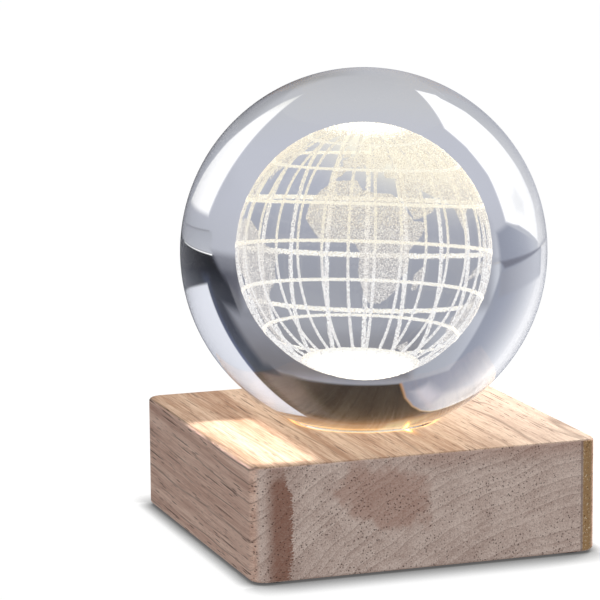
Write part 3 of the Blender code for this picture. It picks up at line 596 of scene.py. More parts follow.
# coasts as longitude and latitude, drawn and kept simple
coasts = {
    "africa": [
        (-6, 34), (9, 35), (13, 29), (20, 27.5), (31, 27), (34, 24), (37, 20), (43, 12),
        (51, 11.5), (47, 4), (40, -4), (40, -15), (35, -20), (35, -25), (31, -30), (26, -34),
        (19, -34), (15, -27), (12, -17), (13, -6), (10, -1.5), (5, -0.5), (1.5, 1.2),
        (-2, -0.5), (-8, -1), (-14, 5.5), (-19, 12), (-18, 21), (-13, 28)],
    "eurasia": [
        (-9, 37), (-9, 43), (-2, 44), (-4, 48), (2, 51), (8, 54), (10, 57), (14, 54), (21, 55),
        (24, 59), (30, 60), (22, 61), (25, 65), (18, 62), (17, 57), (12, 57), (8, 58), (5, 60),
        (10, 64), (16, 69), (26, 71), (40, 67), (44, 66), (44, 69), (54, 69), (68, 69),
        (73, 72), (80, 73), (90, 75), (104, 77.5), (113, 74), (128, 72), (140, 73), (160, 70),
        (180, 69), (189, 66), (180, 64), (178, 62), (170, 60), (163, 60), (162, 57), (157, 51),
        (156, 57), (163, 61), (155, 59), (143, 59), (136, 54.5), (141, 52), (140, 48),
        (132, 43), (128, 40), (129, 36), (126, 35), (125, 39), (121, 39), (118, 38),
        (122, 37), (119, 35), (122, 31), (121, 27), (116, 23), (110, 21), (106, 20), (109, 13),
        (107, 10), (105, 9.5), (103, 12), (100, 13.5), (100, 8), (103, 4), (103.5, 1.5),
        (101, 3), (98.5, 9), (97.5, 16), (94, 17), (92, 22), (87, 21.5), (81, 16), (80, 11),
        (77.5, 8.5), (75, 13), (73, 19), (71, 21), (67, 25), (60, 25.5), (56, 27), (51, 30),
        (48, 30), (50, 27), (51, 25), (54, 24), (56.5, 26), (59.5, 22.5), (55, 17), (45, 13),
        (43, 13), (39, 21), (35, 28), (34.5, 31.5), (36, 36.5), (28, 37), (27, 40),
        (29, 41.2), (35, 42), (41, 41.5), (38, 45), (39, 47), (35, 46), (31, 46.5), (28, 43),
        (27, 41), (23.5, 40.5), (23, 37), (21, 37.5), (19, 42), (13.5, 45.5), (13, 43.5),
        (18, 40.5), (16, 38), (15, 40.5), (10, 44), (4, 43.5), (0, 40), (-2, 37),
        (-5.5, 36.2)],
    "north_america": [
        (-168, 66), (-156, 71), (-141, 70), (-125, 70), (-110, 68), (-96, 68), (-94, 72),
        (-84, 69), (-94, 61), (-93, 58.5), (-85, 55), (-80, 52), (-79, 55), (-77, 60),
        (-78, 62.5), (-70, 61), (-66, 58.5), (-62, 57), (-56, 52.5), (-60, 50), (-66, 50),
        (-65, 48), (-64, 45.5), (-70, 43.5), (-70, 41.8), (-75, 39), (-76, 35), (-81, 31.5),
        (-80, 26), (-82, 28), (-84, 30), (-90, 29.5), (-97, 28), (-97.5, 22), (-95, 18.5),
        (-91, 19), (-90, 21.3), (-87, 21), (-88, 16), (-84, 15), (-83, 10), (-84, 8),
        (-92, 14), (-102, 18), (-105.5, 20), (-106, 23), (-112, 29), (-114.5, 31.5),
        (-115, 28), (-117, 32.5), (-121, 35), (-124, 40), (-124, 47), (-130, 54), (-139, 60),
        (-148, 60.5), (-152, 59), (-158, 56.5), (-164, 55), (-158, 58.5), (-165, 61.5),
        (-161, 64)],
    "south_america": [
        (-78, 8), (-72, 12), (-62, 10.5), (-52, 5), (-50, 0), (-44, -2.5), (-35, -6),
        (-39, -13), (-40, -21), (-48, -26), (-54, -34), (-58, -38), (-65, -42), (-66, -47),
        (-69, -52), (-72, -54), (-75, -50), (-73, -40), (-71, -30), (-70, -18), (-76, -14),
        (-81, -5), (-80, 1), (-77, 5)],
    "australia": [
        (114, -22), (122, -18), (126, -14), (130, -12), (136, -12), (136, -15.5),
        (140.5, -17.5), (142.5, -11), (146, -18.5), (153, -25), (153, -31), (150, -37.5),
        (144, -38.5), (138, -35), (131, -31.5), (124, -33.5), (115.5, -34.5), (113.5, -26)],
    "greenland": [
        (-73, 78), (-60, 82), (-35, 83.5), (-18, 80), (-22, 72), (-32, 68), (-43, 60),
        (-52, 65), (-54, 70), (-60, 76)],
    "baffin": [(-80, 74), (-68, 70), (-62, 66), (-66, 62), (-74, 65), (-86, 70)],
    "ellesmere": [(-90, 77), (-62, 82.5), (-75, 83), (-92, 81)],
    "victoria": [(-117, 72), (-102, 72.5), (-105, 69), (-116, 69)],
    "madagascar": [(49, -12), (50, -16), (47, -25), (44, -25), (44, -17)],
    "britain": [(-5, 50), (1, 51), (1.5, 53), (-2, 57.5), (-5, 58.5), (-4, 54)],
    "ireland": [(-10, 52), (-6, 52), (-6, 55), (-9, 54.5)],
    "iceland": [(-24, 65.5), (-14, 66.5), (-14, 64.5), (-21, 63.5)],
    "japan": [(130, 31), (136, 33.5), (141, 35.5), (142, 40), (145, 43.5), (141, 45),
              (139.5, 41), (137, 37), (131, 34)],
    "sumatra": [(95, 5.5), (101, 1.5), (106, -3), (105.5, -6), (101, -3), (97, 1)],
    "java": [(105.5, -6.5), (114, -7), (115, -8.5), (106, -7.5)],
    "borneo": [(109, 1), (113, 3), (117, 7), (119, 5), (116.5, -3.5), (110.5, -3)],
    "celebes": [(119.5, -5), (121, 0), (125, 1.5), (120.5, 1), (122.5, -4.5)],
    "new_guinea": [(131, -1), (138, -2), (146, -6), (150.5, -10.5), (144, -8), (138, -8)],
    "new_zealand": [(173, -35), (178, -38), (172, -43), (167, -46.5), (171, -41)],
    "philippines": [(120.5, 18), (122.5, 17), (126, 7), (122, 7.5), (120, 14)],
}


def turned(degrees, axis, size=4):
    return Matrix.Rotation(math.radians(degrees), size, axis)


def globeTurn(globe):
    towards = globe["leanTowards"]
    return (turned(towards, "Z", 3) @ turned(globe["lean"], "Y", 3) @ turned(-towards, "Z", 3)
            @ turned(globe["turn"], "Z", 3))


def onGlobe(globe, longitude, latitude, radius):
    # places in millimetres of points given by longitude and latitude
    longitude, latitude = np.radians(longitude), np.radians(latitude)
    way = np.stack([np.cos(latitude) * np.cos(longitude), np.cos(latitude) * np.sin(longitude),
                    np.sin(latitude)], axis=-1)
    return way @ np.array(globeTurn(globe)).T * radius + (0, 0, glassBall["middle"])


def inLand(longitude, latitude):
    latitude = latitude - engraving["coastRise"]
    found = np.zeros(len(longitude), bool)
    for outline in coasts.values():
        corners = np.array(outline, float)
        (west, south), (east, north) = corners.min(axis=0), corners.max(axis=0)
        eastward = (longitude - west) % 360
        near = np.nonzero((eastward < east - west) & (latitude > south) & (latitude < north))[0]
        x, y = west + eastward[near], latitude[near]
        inside = np.zeros(len(near), bool)
        for (x0, y0), (x1, y1) in zip(corners, np.roll(corners, -1, axis=0)):
            if y0 != y1:
                inside ^= ((y0 > y) != (y1 > y)) & (x < x0 + (y - y0) * (x1 - x0) / (y1 - y0))
        found[near] |= inside
    return found


def modelFleck():
    # one engraved fleck: a three-sided point, four faces in all
    letGo()
    bpy.ops.mesh.primitive_cone_add(vertices=3, radius1=1.0, radius2=0.0, depth=1.4,
                                    end_fill_type="NGON")
    fleck = named("fleck")
    choose(fleck, "VERT", lambda corner: corner.co.z < 0)
    bpy.ops.transform.rotate(value=0.5, orient_axis="Z", center_override=(0, 0, 0))
    letGo()
    points = np.array([v.co for v in fleck.data.vertices])
    faces = np.array([p.vertices for p in fleck.data.polygons])
    bpy.data.objects.remove(fleck)
    return points, faces


fleckPoints, fleckFaces = modelFleck()


def sowFlecks(name, places, rng, finishes, size=engraving["fleck"]):
    # a copy of the fleck at each place, each of its own size, turn and finish
    count = len(places)
    sizes = size * rng.uniform(0.6, 1.25, (count, 1, 1))
    flips = rng.choice((-1.0, 1.0), (count, 1, 2))[:, :, :1]
    shape = fleckPoints[None] * sizes
    shape[:, :, :2] *= flips          # half a turn about the upright axis
    points = (places[:, None, :] + shape) * mm
    faces = fleckFaces[None] + np.arange(count)[:, None, None] * len(fleckPoints)
    faces = faces.reshape(-1, 3)
    mesh = bpy.data.meshes.new(name)
    mesh.vertices.add(points.shape[0] * points.shape[1])
    mesh.vertices.foreach_set("co", points.astype(np.float32).ravel())
    mesh.loops.add(faces.size)
    mesh.loops.foreach_set("vertex_index", faces.astype(np.int32).ravel())
    mesh.polygons.add(len(faces))
    mesh.polygons.foreach_set("loop_start", np.arange(0, faces.size, 3, dtype=np.int32))
    kinds = np.repeat(rng.integers(0, len(finishes), count), len(fleckFaces))
    mesh.polygons.foreach_set("material_index", kinds.astype(np.int32))
    mesh.update(calc_edges=True)
    piece = addObject(name, mesh)
    for finish in finishes:
        mesh.materials.append(finish)
    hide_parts("engraved_globe")
    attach(piece, "ball")
    print(f"{name}: {count} flecks")


def litFleck(name, colour, strength):
    # a micro-crack in the glass that catches the lamp's light
    finish = Finish(name)
    finish.surface(Base_Color=(0.5, 0.48, 0.44, 1), Roughness=0.6, Emission_Color=colour,
                   Emission_Strength=strength)
    finish.material.cycles.emission_sampling = "NONE"
    return finish.material


def meridianAngles(globe):
    count = globe["meridians"]
    return [globe["firstMeridian"] + k * 360 / count for k in range(count)]


def sowMeridians(globe):
    # flecks evenly over each line's width, all on the globe's face
    rng = np.random.default_rng(11)
    span = globe["fleckSpan"]
    count = int(math.pi * globe["radius"] * span / 180 * globe["meridianFlecks"])
    rows = []
    for at in meridianAngles(globe):
        latitude = (np.arange(count) + rng.uniform(0, 1, count)) / count * span - span / 2
        aside = rng.uniform(-0.5, 0.5, count) * globe["meridianWidth"]
        aside = np.degrees(aside / globe["radius"]) / np.cos(np.radians(latitude))
        rows.append(onGlobe(globe, at + aside, latitude, globe["radius"]))
    return np.concatenate(rows), rng


def sowParallels(globe):
    rng = np.random.default_rng(12)
    rows = []
    for at in globe["parallels"]:
        length = 2 * math.pi * globe["radius"] * math.cos(math.radians(at))
        count = int(length * globe["parallelFlecks"])
        longitude = (np.arange(count) + rng.uniform(0, 1, count)) / count * 360
        aside = rng.uniform(-0.5, 0.5, count) * globe["parallelWidth"]
        rows.append(onGlobe(globe, longitude, at + np.degrees(aside / globe["radius"]),
                            globe["radius"]))
    return np.concatenate(rows), rng


def scatterOnGlobe(globe, rng, spacing):
    # an even scatter over the whole globe, as longitude and latitude: a spiral, shaken a little
    rowShare, golden, shakeShare, nearPole = 0.866, 3 - math.sqrt(5), 0.45, 89.9
    count = int(4 * math.pi * globe["radius"] ** 2 / (spacing ** 2 * rowShare))
    index = np.arange(count) + 0.5
    latitude = np.degrees(np.arcsin(1 - 2 * index / count))
    longitude = (index * 180 * golden) % 360 - 180
    shake = math.degrees(spacing / globe["radius"]) * shakeShare
    latitude = np.clip(latitude + rng.normal(0, shake, count), -nearPole, nearPole)
    longitude = longitude + rng.normal(0, shake, count) / np.cos(np.radians(latitude))
    return (longitude + 180) % 360 - 180, latitude


whiteHot = litFleck("fleck_white_hot", seen(255, 252, 240), 1.25)
warmBright = litFleck("fleck_warm_bright", seen(255, 243, 212), 1.0)
warmSoft = litFleck("fleck_warm_soft", seen(250, 232, 200), 0.75)
silver = litFleck("fleck_silver", seen(246, 243, 238), 1.0)
paleGrain = litFleck("fleck_pale_grain", seen(236, 230, 224), 0.78)
dimGrain = litFleck("fleck_dim_grain", seen(206, 200, 198), 0.55)


def sowByHeight(name, places, rng, split, highFinishes, lowFinishes):
    # warmer light above a height over the ball's middle, cooler below
    high = places[:, 2] > glassBall["middle"] + split
    sowFlecks(name + "_high", places[high], rng, highFinishes)
    sowFlecks(name + "_low", places[~high], rng, lowFinishes)


places, rng = sowMeridians(engraving)
sowByHeight("meridian_flecks", places, rng, 3.0, [warmBright, warmSoft, paleGrain],
            [silver, paleGrain, dimGrain])
places, rng = sowParallels(engraving)
sowByHeight("parallel_flecks", places, rng, 1.0, [whiteHot, warmBright, warmSoft],
            [whiteHot, silver, paleGrain])


def putInGlobe(name, piece, globe):
    # turns a piece made round the origin as the globe is turned, and lifts it into the ball
    piece.name = piece.data.name = name
    lift = Matrix.Translation((0, 0, glassBall["middle"] * mm))
    piece.data.transform(lift @ globeTurn(globe).to_4x4())
    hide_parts("engraved_globe")
    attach(piece, "ball")
    return piece


def spinBand(radius, width, angle, latitude=0.0, standing=False):
    # a thin band that lies or stands on a ball, spun round the globe's axis through an angle
    letGo()
    lift = math.radians(latitude)
    bpy.ops.mesh.primitive_plane_add(
        size=width * mm, rotation=(0, (0 if standing else math.pi / 2) - lift, 0),
        location=(radius * math.cos(lift) * mm, 0, radius * math.sin(lift) * mm))
    band = named("band")
    choose(band, "VERT", lambda corner: corner.co.y > 0)
    bpy.ops.mesh.delete(type="VERT")         # leaves one edge across the line
    bpy.ops.mesh.select_all(action="SELECT")
    bpy.ops.mesh.spin(steps=int(angle / engraving["bandStep"]), angle=math.radians(angle),
                      center=(0, 0, 0), axis=(0, 0, 1))
    bpy.ops.mesh.select_all(action="SELECT")
    bpy.ops.mesh.remove_doubles(threshold=0.000001)
    bpy.ops.mesh.normals_make_consistent(inside=False)
    letGo()
    return band


def joined(name, pieces):
    letGo()
    for piece in pieces:
        piece.select_set(True)
    bpy.context.view_layer.objects.active = pieces[0]
    bpy.ops.object.join()
    pieces[0].name = pieces[0].data.name = name
    return pieces[0]


def globeReadings(finish, globe):
    # degrees round and up the globe, and millimetres from its axis
    turn = globeTurn(globe)
    outward = finish.vector("SUBTRACT", finish.place(), (0, 0, glassBall["middle"]))
    x, y, z = [finish.vector("DOT_PRODUCT", outward, tuple(turn.col[i]), out="Value")
               for i in range(3)]
    reach = (x ** 2 + y ** 2) ** 0.5
    return (y.maths("ARCTAN2", x) * math.degrees(1), z.maths("ARCTAN2", reach) * math.degrees(1),
            reach)


def sandGrains(finish, width):
    # a grain of sand in each small cell: whether it is there, and how bright
    cell = finish.vector("SNAP", finish.place(), (width,) * 3)
    grains = finish.node("TexWhiteNoise", inputs={"Vector": cell}, out="Color")
    return finish.split(grains)[:2]


def sandyLine(name, globe, alongMeridians, fill, low, high, dull):
    # lit sand, dense in the middle of the line and ragged at its sides
    finish = Finish(name)
    longitude, latitude, reach = globeReadings(finish, globe)
    if alongMeridians:
        step, width = 360 / globe["meridians"], globe["meridianWidth"]
        share = (longitude - globe["firstMeridian"]) / step + 0.5
        aside = abs(share.maths("FRACT") - 0.5) * math.radians(step) * reach
    else:
        width = globe["parallelWidth"]
        nearest = least(*(abs(latitude - at) for at in globe["parallels"]))
        aside = nearest * math.radians(globe["radius"])
    there, bright = sandGrains(finish, globe["sand"])
    middle = 1 - (aside / (width * globe["lineEnd"])) ** 4
    amount = (fill * middle - there).above(-globe["grainEdge"], globe["grainEdge"])
    x, y, z = finish.xyz()
    tint = finish.mix((z - glassBall["middle"]).above(*globe["lineWarms"]), low, high)
    return finish.shining(amount, finish.mix(bright.above(*globe["lineDulls"]), tint, dull))


def engraveMeridians(globe):
    # lying bands for the lines ahead, standing ones for those at the globe's rim
    span = globe["meridianSpan"]
    half = joined("half", [
        spinBand(globe["radius"], globe["meridianWidth"], span),
        spinBand(globe["radius"] - globe["lineDepth"] / 2, globe["lineDepth"], span,
                 standing=True)])
    half.data.transform(turned(span / 2, "Z"))
    half.data.transform(turned(90, "X"))
    bands = []
    for at in meridianAngles(globe):
        copy = addObject("band", half.data.copy())
        copy.data.transform(turned(at, "Z"))
        bands.append(copy)
    bpy.data.objects.remove(half)
    piece = putInGlobe("engraved_meridians", joined("engraved_meridians", bands), globe)
    dress(piece, sandyLine("meridian_sand", globe, True, fill=0.93, low=seen(255, 255, 255),
                           high=seen(255, 248, 226), dull=seen(204, 200, 202)))


def engraveParallels(globe):
    bands = [spinBand(globe["radius"], globe["parallelWidth"], 360, at)
             for at in globe["parallels"]]
    piece = putInGlobe("engraved_parallels", joined("engraved_parallels", bands), globe)
    dress(piece, sandyLine("parallel_sand", globe, False, fill=0.99, low=seen(255, 255, 252),
                           high=seen(255, 251, 234), dull=seen(238, 230, 212)))


def landFilm(globe):
    finish = Finish("land_film")
    longitude, latitude, reach = globeReadings(finish, globe)
    there, bright = sandGrains(finish, globe["landSand"])
    x, y, z = finish.xyz()
    high = (z - glassBall["middle"]).above(*globe["landWarms"])
    tint = finish.mix(high, seen(246, 243, 240), seen(255, 248, 228))
    dull = finish.mix(high, seen(178, 174, 174), seen(206, 194, 178))
    tint = finish.mix(bright.above(*globe["landDulls"]), tint, dull)
    # the south cap is solid, with a few short slits left in it
    south = latitude.above(globe["southCap"] + 1.0, globe["southCap"] - 0.5)
    wide, tall = globe["slitSize"]
    slits = finish.noise(finish.join(longitude / wide, latitude / tall, 0.0), detail=1)
    slits = slits.above(*globe["slitEdge"]) * latitude.above(*globe["slitsAbove"])
    slits = slits * y.above(*globe["slitsBehind"]) * globe["slitDepth"]
    tint = finish.mix(south, tint, seen(255, 255, 251))
    fill, grains = globe["filmFill"]
    amount = greatest(fill + there * grains, south) * (1 - south * slits)
    return finish.shining(amount, tint)


def engraveLandFilm(globe):
    # the clouded sheet of the land, cut out of a ball by its coasts
    letGo()
    bpy.ops.mesh.primitive_ico_sphere_add(subdivisions=globe["filmSteps"],
                                          radius=globe["filmRadius"] * mm)
    film = named("film")
    middles = np.empty(len(film.data.polygons) * 3)
    film.data.polygons.foreach_get("center", middles)
    middles = middles.reshape(-1, 3) / (globe["filmRadius"] * mm)
    latitude = np.degrees(np.arcsin(np.clip(middles[:, 2], -1, 1)))
    longitude = np.degrees(np.arctan2(middles[:, 1], middles[:, 0]))
    kept = inLand(longitude, latitude) | (latitude < globe["southCap"] + 0.8)
    choose(film, "FACE", lambda face: not kept[face.index])
    bpy.ops.mesh.delete(type="FACE")
    letGo()
    takeUp(film)
    bpy.ops.object.shade_smooth()
    dress(putInGlobe("engraved_land_film", film, globe), landFilm(globe))


engraveMeridians(engraving)
engraveParallels(engraving)
engraveLandFilm(engraving)

rng = np.random.default_rng(13)
longitude, latitude = scatterOnGlobe(engraving, rng, engraving["landSpacing"])
land = inLand(longitude, latitude) & (latitude > engraving["southCap"])
places = onGlobe(engraving, longitude[land], latitude[land],
                 engraving["radius"] - engraving["landInset"])
places = places + rng.normal(0, engraving["fleckShake"], places.shape)
sowByHeight("land_flecks", places, rng, 7.0, [warmBright, warmSoft, paleGrain],
            [silver, paleGrain, dimGrain])

rng = np.random.default_rng(14)
longitude, latitude = scatterOnGlobe(engraving, rng, engraving["capSpacing"])
ragged = rng.uniform(0, 1, len(latitude))
southEdge = engraving["southCap"] - ragged * engraving["southRag"]
northEdge = engraving["northCap"] + ragged * engraving["northRag"]
for name, mask, finishes in (
        ("south_cap_flecks", latitude < southEdge, [whiteHot]),
        ("north_cap_flecks", latitude > northEdge, [whiteHot, warmBright])):
    places = onGlobe(engraving, longitude[mask], latitude[mask], engraving["radius"])
    if name.startswith("south"):     # the far side keeps its slits open
        back, foot = engraving["flecksEnd"]
        places = places[(places[:, 1] < back) | (latitude[mask] < foot)]
    places = places + rng.normal(0, engraving["fleckShake"], places.shape)
    sowFlecks(name, places, rng, finishes, engraving["capFleck"])

engravingGlow = {
    "radius": 17.9,
    "from": (0.33, -0.12, 0.93),
    # where it starts and is full, as shares of the radius towards the light
    "spread": (0.42, 0.97),
    "spreadCurve": 1.7,
    "heart": (0.76, 0.97),
    "foot": (-16.2, -17.8),    # heights over the ball's middle
    "amounts": (0.52, 0.42, 0.5),
    "colour": seen(255, 249, 226),
    "strength": 1.15,
}


def scatteredGlow(glow):
    # light that the finest cracks scatter, thickest towards the top
    finish = Finish("engraving_glow")
    x, y, z = finish.xyz()
    z = z - glassBall["middle"]
    towards = Vector(glow["from"]).normalized() / glow["radius"]
    lit = x * towards.x + y * towards.y + z * towards.z
    spread, heart, foot = glow["amounts"]
    amount = lit.above(*glow["spread"]) ** glow["spreadCurve"] * spread
    amount = greatest(amount + lit.above(*glow["heart"]) * heart, z.above(*glow["foot"]) * foot)
    grain = finish.noise(finish.place(), 7.0, 2)
    return finish.shining(amount * (0.8 + grain * 0.4), glow["colour"], glow["strength"])


glow = spinBall("engraving_glow", engravingGlow["radius"], 96)
dress(glow, scatteredGlow(engravingGlow))
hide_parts("engraved_globe")
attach(glow, "ball")
print("engraving ready")

woodBlock = {
    "width": 77.5, "bottom": 0.5, "top": 25.0,
    "cornerRadius": 3.5, "cornerSteps": 14,
    "edgeRadius": 0.7, "edgeSteps": 4,
    "rebate": 65.0, "rebateRadius": 9.5, "rebateTop": 3.9,
    "pocket": 62.0, "pocketRadius": 18.0, "pocketTop": 15.8,
    "chamberRadius": 20.3, "chamberTop": 20.0,
    "lightHole": 14.7, "seatLow": 24.38, "seatRim": 16.2,
    "footPlace": 33.2, "footHole": 4.3, "footTop": 1.8,
    "screwPlace": 27.6, "screwHole": 1.3, "screwTop": 11.5,
    "sharpFrom": 35,           # degrees
}


def buildWoodBlock(wood):
    # each cutter reaches past the face that it opens
    width, bottom, top = wood["width"], wood["bottom"], wood["top"]
    block = addBlock("wood_block", width, width, bottom, top)
    roundEdges(block, upright, wood["cornerRadius"], wood["cornerSteps"])
    for level in (top, bottom):
        roundEdges(block, lambda edge: sameLevel(edge, level), wood["edgeRadius"],
                   wood["edgeSteps"])
    cutters = []
    for name, steps in (("rebate", 8), ("pocket", 12)):
        cutter = addBlock(name, wood[name], wood[name], -2, wood[name + "Top"])
        roundEdges(cutter, upright, wood[name + "Radius"], steps)
        cutters.append(cutter)
    hole = wood["lightHole"]
    slope = (wood["seatRim"] - hole) / (top - wood["seatLow"])
    cutters.append(addDrum("chamber", wood["chamberRadius"], 8, wood["chamberTop"]))
    cutters.append(addDrum("light_hole", hole, 18, 26))
    cutters.append(addDrum("seat", hole - 0.1 * slope, wood["seatLow"] - 0.1, top + 0.5,
                           topRadius=wood["seatRim"] + 0.5 * slope, sides=192))
    foot, screw = wood["footPlace"], wood["screwPlace"]
    for sx in (-1, 1):
        for sy in (-1, 1):
            cutters.append(addDrum("foot_hole", wood["footHole"], -1, wood["footTop"],
                                   (sx * foot, sy * foot), sides=48))
            cutters.append(addDrum("screw_hole", wood["screwHole"], 2, wood["screwTop"],
                                   (sx * screw, sy * screw), sides=24))
    for cutter in cutters:
        cutOut(block, cutter)
    smoothOff(block, wood["sharpFrom"])
    return block


woodLook = {
    "heart": (44.0, -70.0),        # middle of the growth rings, across and up
    "tilt": 0.02,                  # the pith drops a little towards the front
    "ringWave": 7,
    "ringStep": 2.2,
    # each face has tones of its own: the ends show end grain, and the sides are painted lighter
    # than the top, standing in for how the light falls on each face
    "topLight": seen(204, 179, 156), "topDark": seen(150, 116, 92),
    # painted light: the paler tone the top turns to towards its right end
    "topLitRight": seen(240, 234, 226),
    "sideLight": seen(250, 217, 198), "sideDark": seen(202, 162, 144),
    "endLight": seen(238, 219, 208), "endDark": seen(178, 151, 140),
    # a brown stain colour, also used for the painted shade below the front face's top edge
    "stainAndShade": seen(176, 132, 115), "stripe": seen(146, 102, 84),
    # painted highlight: the golden tone of the right rounded corner, and its pale painted glints
    "corner": seen(176, 140, 98), "cornerGlint": seen(228, 206, 172),
    # the dark of pores and grain lines, also used for the painted shade line by the right corner
    "poreAndShade": seen(62, 38, 28), "poreDepth": 0.80,
    # pores run along the grain: width and length of their cells, then where in a cell the
    # dark starts and is full
    "streaks": (1.9, 110, 0.085, 0.04),
    "longPores": (0.95, 34, 0.23, 0.13),
    "shortPores": (0.70, 9, 0.25, 0.14),
    "finePores": (0.38, 4, 0.30, 0.14),
    # noise along the grain: width, length, detail, roughness
    "fibres": (0.30, 14, 4, 0.65),
    "bands": (2.6, 160, 4, 0.55),
    "speckle": (0.26, 0.8, 3, 0.75),
    # how dark rings, streaks and pores are; thick pores are darker by the second number
    "ringDark": 0.60, "streakDark": 0.72,
    "longDark": (0.50, 0.50), "shortDark": (0.38, 0.50), "fineDark": 0.36,
    # marks of the front face: a browner blotch, a band of painted shade below the top edge, a
    # darker stripe, and where the right corner's painted highlight starts, in millimetres across
    # and up
    "blotch": (-9.6, 16.6), "blotchSize": (118, 60), "blotchSlant": 0.6,
    "blotchEdge": (1.62, 1.22),
    "shadedAbove": (20.5, 24.5), "shadedFrom": (-12, 4), "shadedDark": 0.35,
    "stripeFrom": (-37.2, -33.6), "stripeTo": -33.5, "stripeRag": 3.8,
    "stripeFades": (24.6, 21.0), "stripeLeast": 0.55,
    "cornerFrom": 34.9,
    "glow": seen(255, 176, 80), "glowStrength": 1.5,
    "rim": (15.2, 16.1, 16.3, 17.3),   # radii where the lit rim starts, is full and ends
    "rimGlow": 0.70,
    "halo": (21.5, 16.0), "haloGlow": 0.08,
    "spark": (3.9, -16.0),         # the brightest place of the lit rim
    "sparkGlow": ((1.1, 9), (2.8, 0.45)),   # radii and strengths
    "glowHeight": (22.0, 24.3),
    # the painted grey glow of the wood where the ball shows it inside itself, and its strength
    "inBall": seen(193, 194, 200), "inBallStrength": 0.66,
    "inBallColour": (0.02, 0.02, 0.02, 1),
}


def stainsAndPaintedLight(finish, look, end, position, front):
    # the front face's marks: a browner blotch, painted shade in a band below the top edge, a darker
    # stripe by the left rounded corner, and the right rounded corner painted as a golden highlight
    # with glints
    x, y, z = finish.split(position)
    shake = finish.noise(position, 0.30, 4)
    rag = finish.noise(finish.join(x / 0.5, y, z / 0.22), detail=2)
    (left, up), (wide, high) = look["blotch"], look["blotchSize"]
    over = z - up
    blotch = ((x - left + over * look["blotchSlant"]) ** 2 / wide + over ** 2 / high) ** 0.5
    blotch = (blotch + shake).above(*look["blotchEdge"]) * (0.22 + rag * 0.6)
    # painted shade: the front face darkens in a band below its top edge, right of the middle
    shaded = z.above(*look["shadedAbove"]) * x.above(*look["shadedFrom"]) * look["shadedDark"]
    # the stripe is wider below its top and narrower at its foot
    edge = z.above(21.5, 18.5) * 1.3 - z.above(6.0, 1.0) * 0.7
    edge = edge + look["stripeTo"] + rag * look["stripeRag"]
    stripe = x.above(*look["stripeFrom"]) * (edge - x).above(-0.15, 0.25) * (0.60 + rag * 0.5)
    stripe = stripe * greatest(z.above(*look["stripeFades"]), look["stripeLeast"])
    for amount, colour in ((blotch, "stainAndShade"), (shaded, "stainAndShade"), (stripe, "stripe")):
        end = finish.mix(amount * front, end, look[colour])
    # painted highlight: the right front rounded corner turns golden, speckled with pale painted
    # glints, where light catches it
    corner = x.above(look["cornerFrom"] + 0.1, look["cornerFrom"] + 0.4) * y.above(1.0, -1.0)
    glint = finish.noise(position, 2.6, 2).above(0.58, 0.68)
    return finish.mix(corner, end, finish.mix(glint, look["corner"], look["cornerGlint"]))


def leakedLight(look, x, y, z):
    # the seat glows where the lamp's light leaks round the ball
    start, full, fade, end = look["rim"]
    reach = (x ** 2 + y ** 2) ** 0.5
    past = reach.above(start, full)
    leak = (reach.above(end, fade) * past) ** 2 * look["rimGlow"]
    leak = leak + reach.above(*look["halo"]) ** 3 * past * look["haloGlow"]
    spark = ((x - look["spark"][0]) ** 2 + ((y - look["spark"][1]) * 0.30) ** 2) ** 0.5
    for radius, strength in look["sparkGlow"]:
        leak = leak + spark.above(radius, 0.0) ** 2 * strength
    return leak * z.above(*look["glowHeight"])


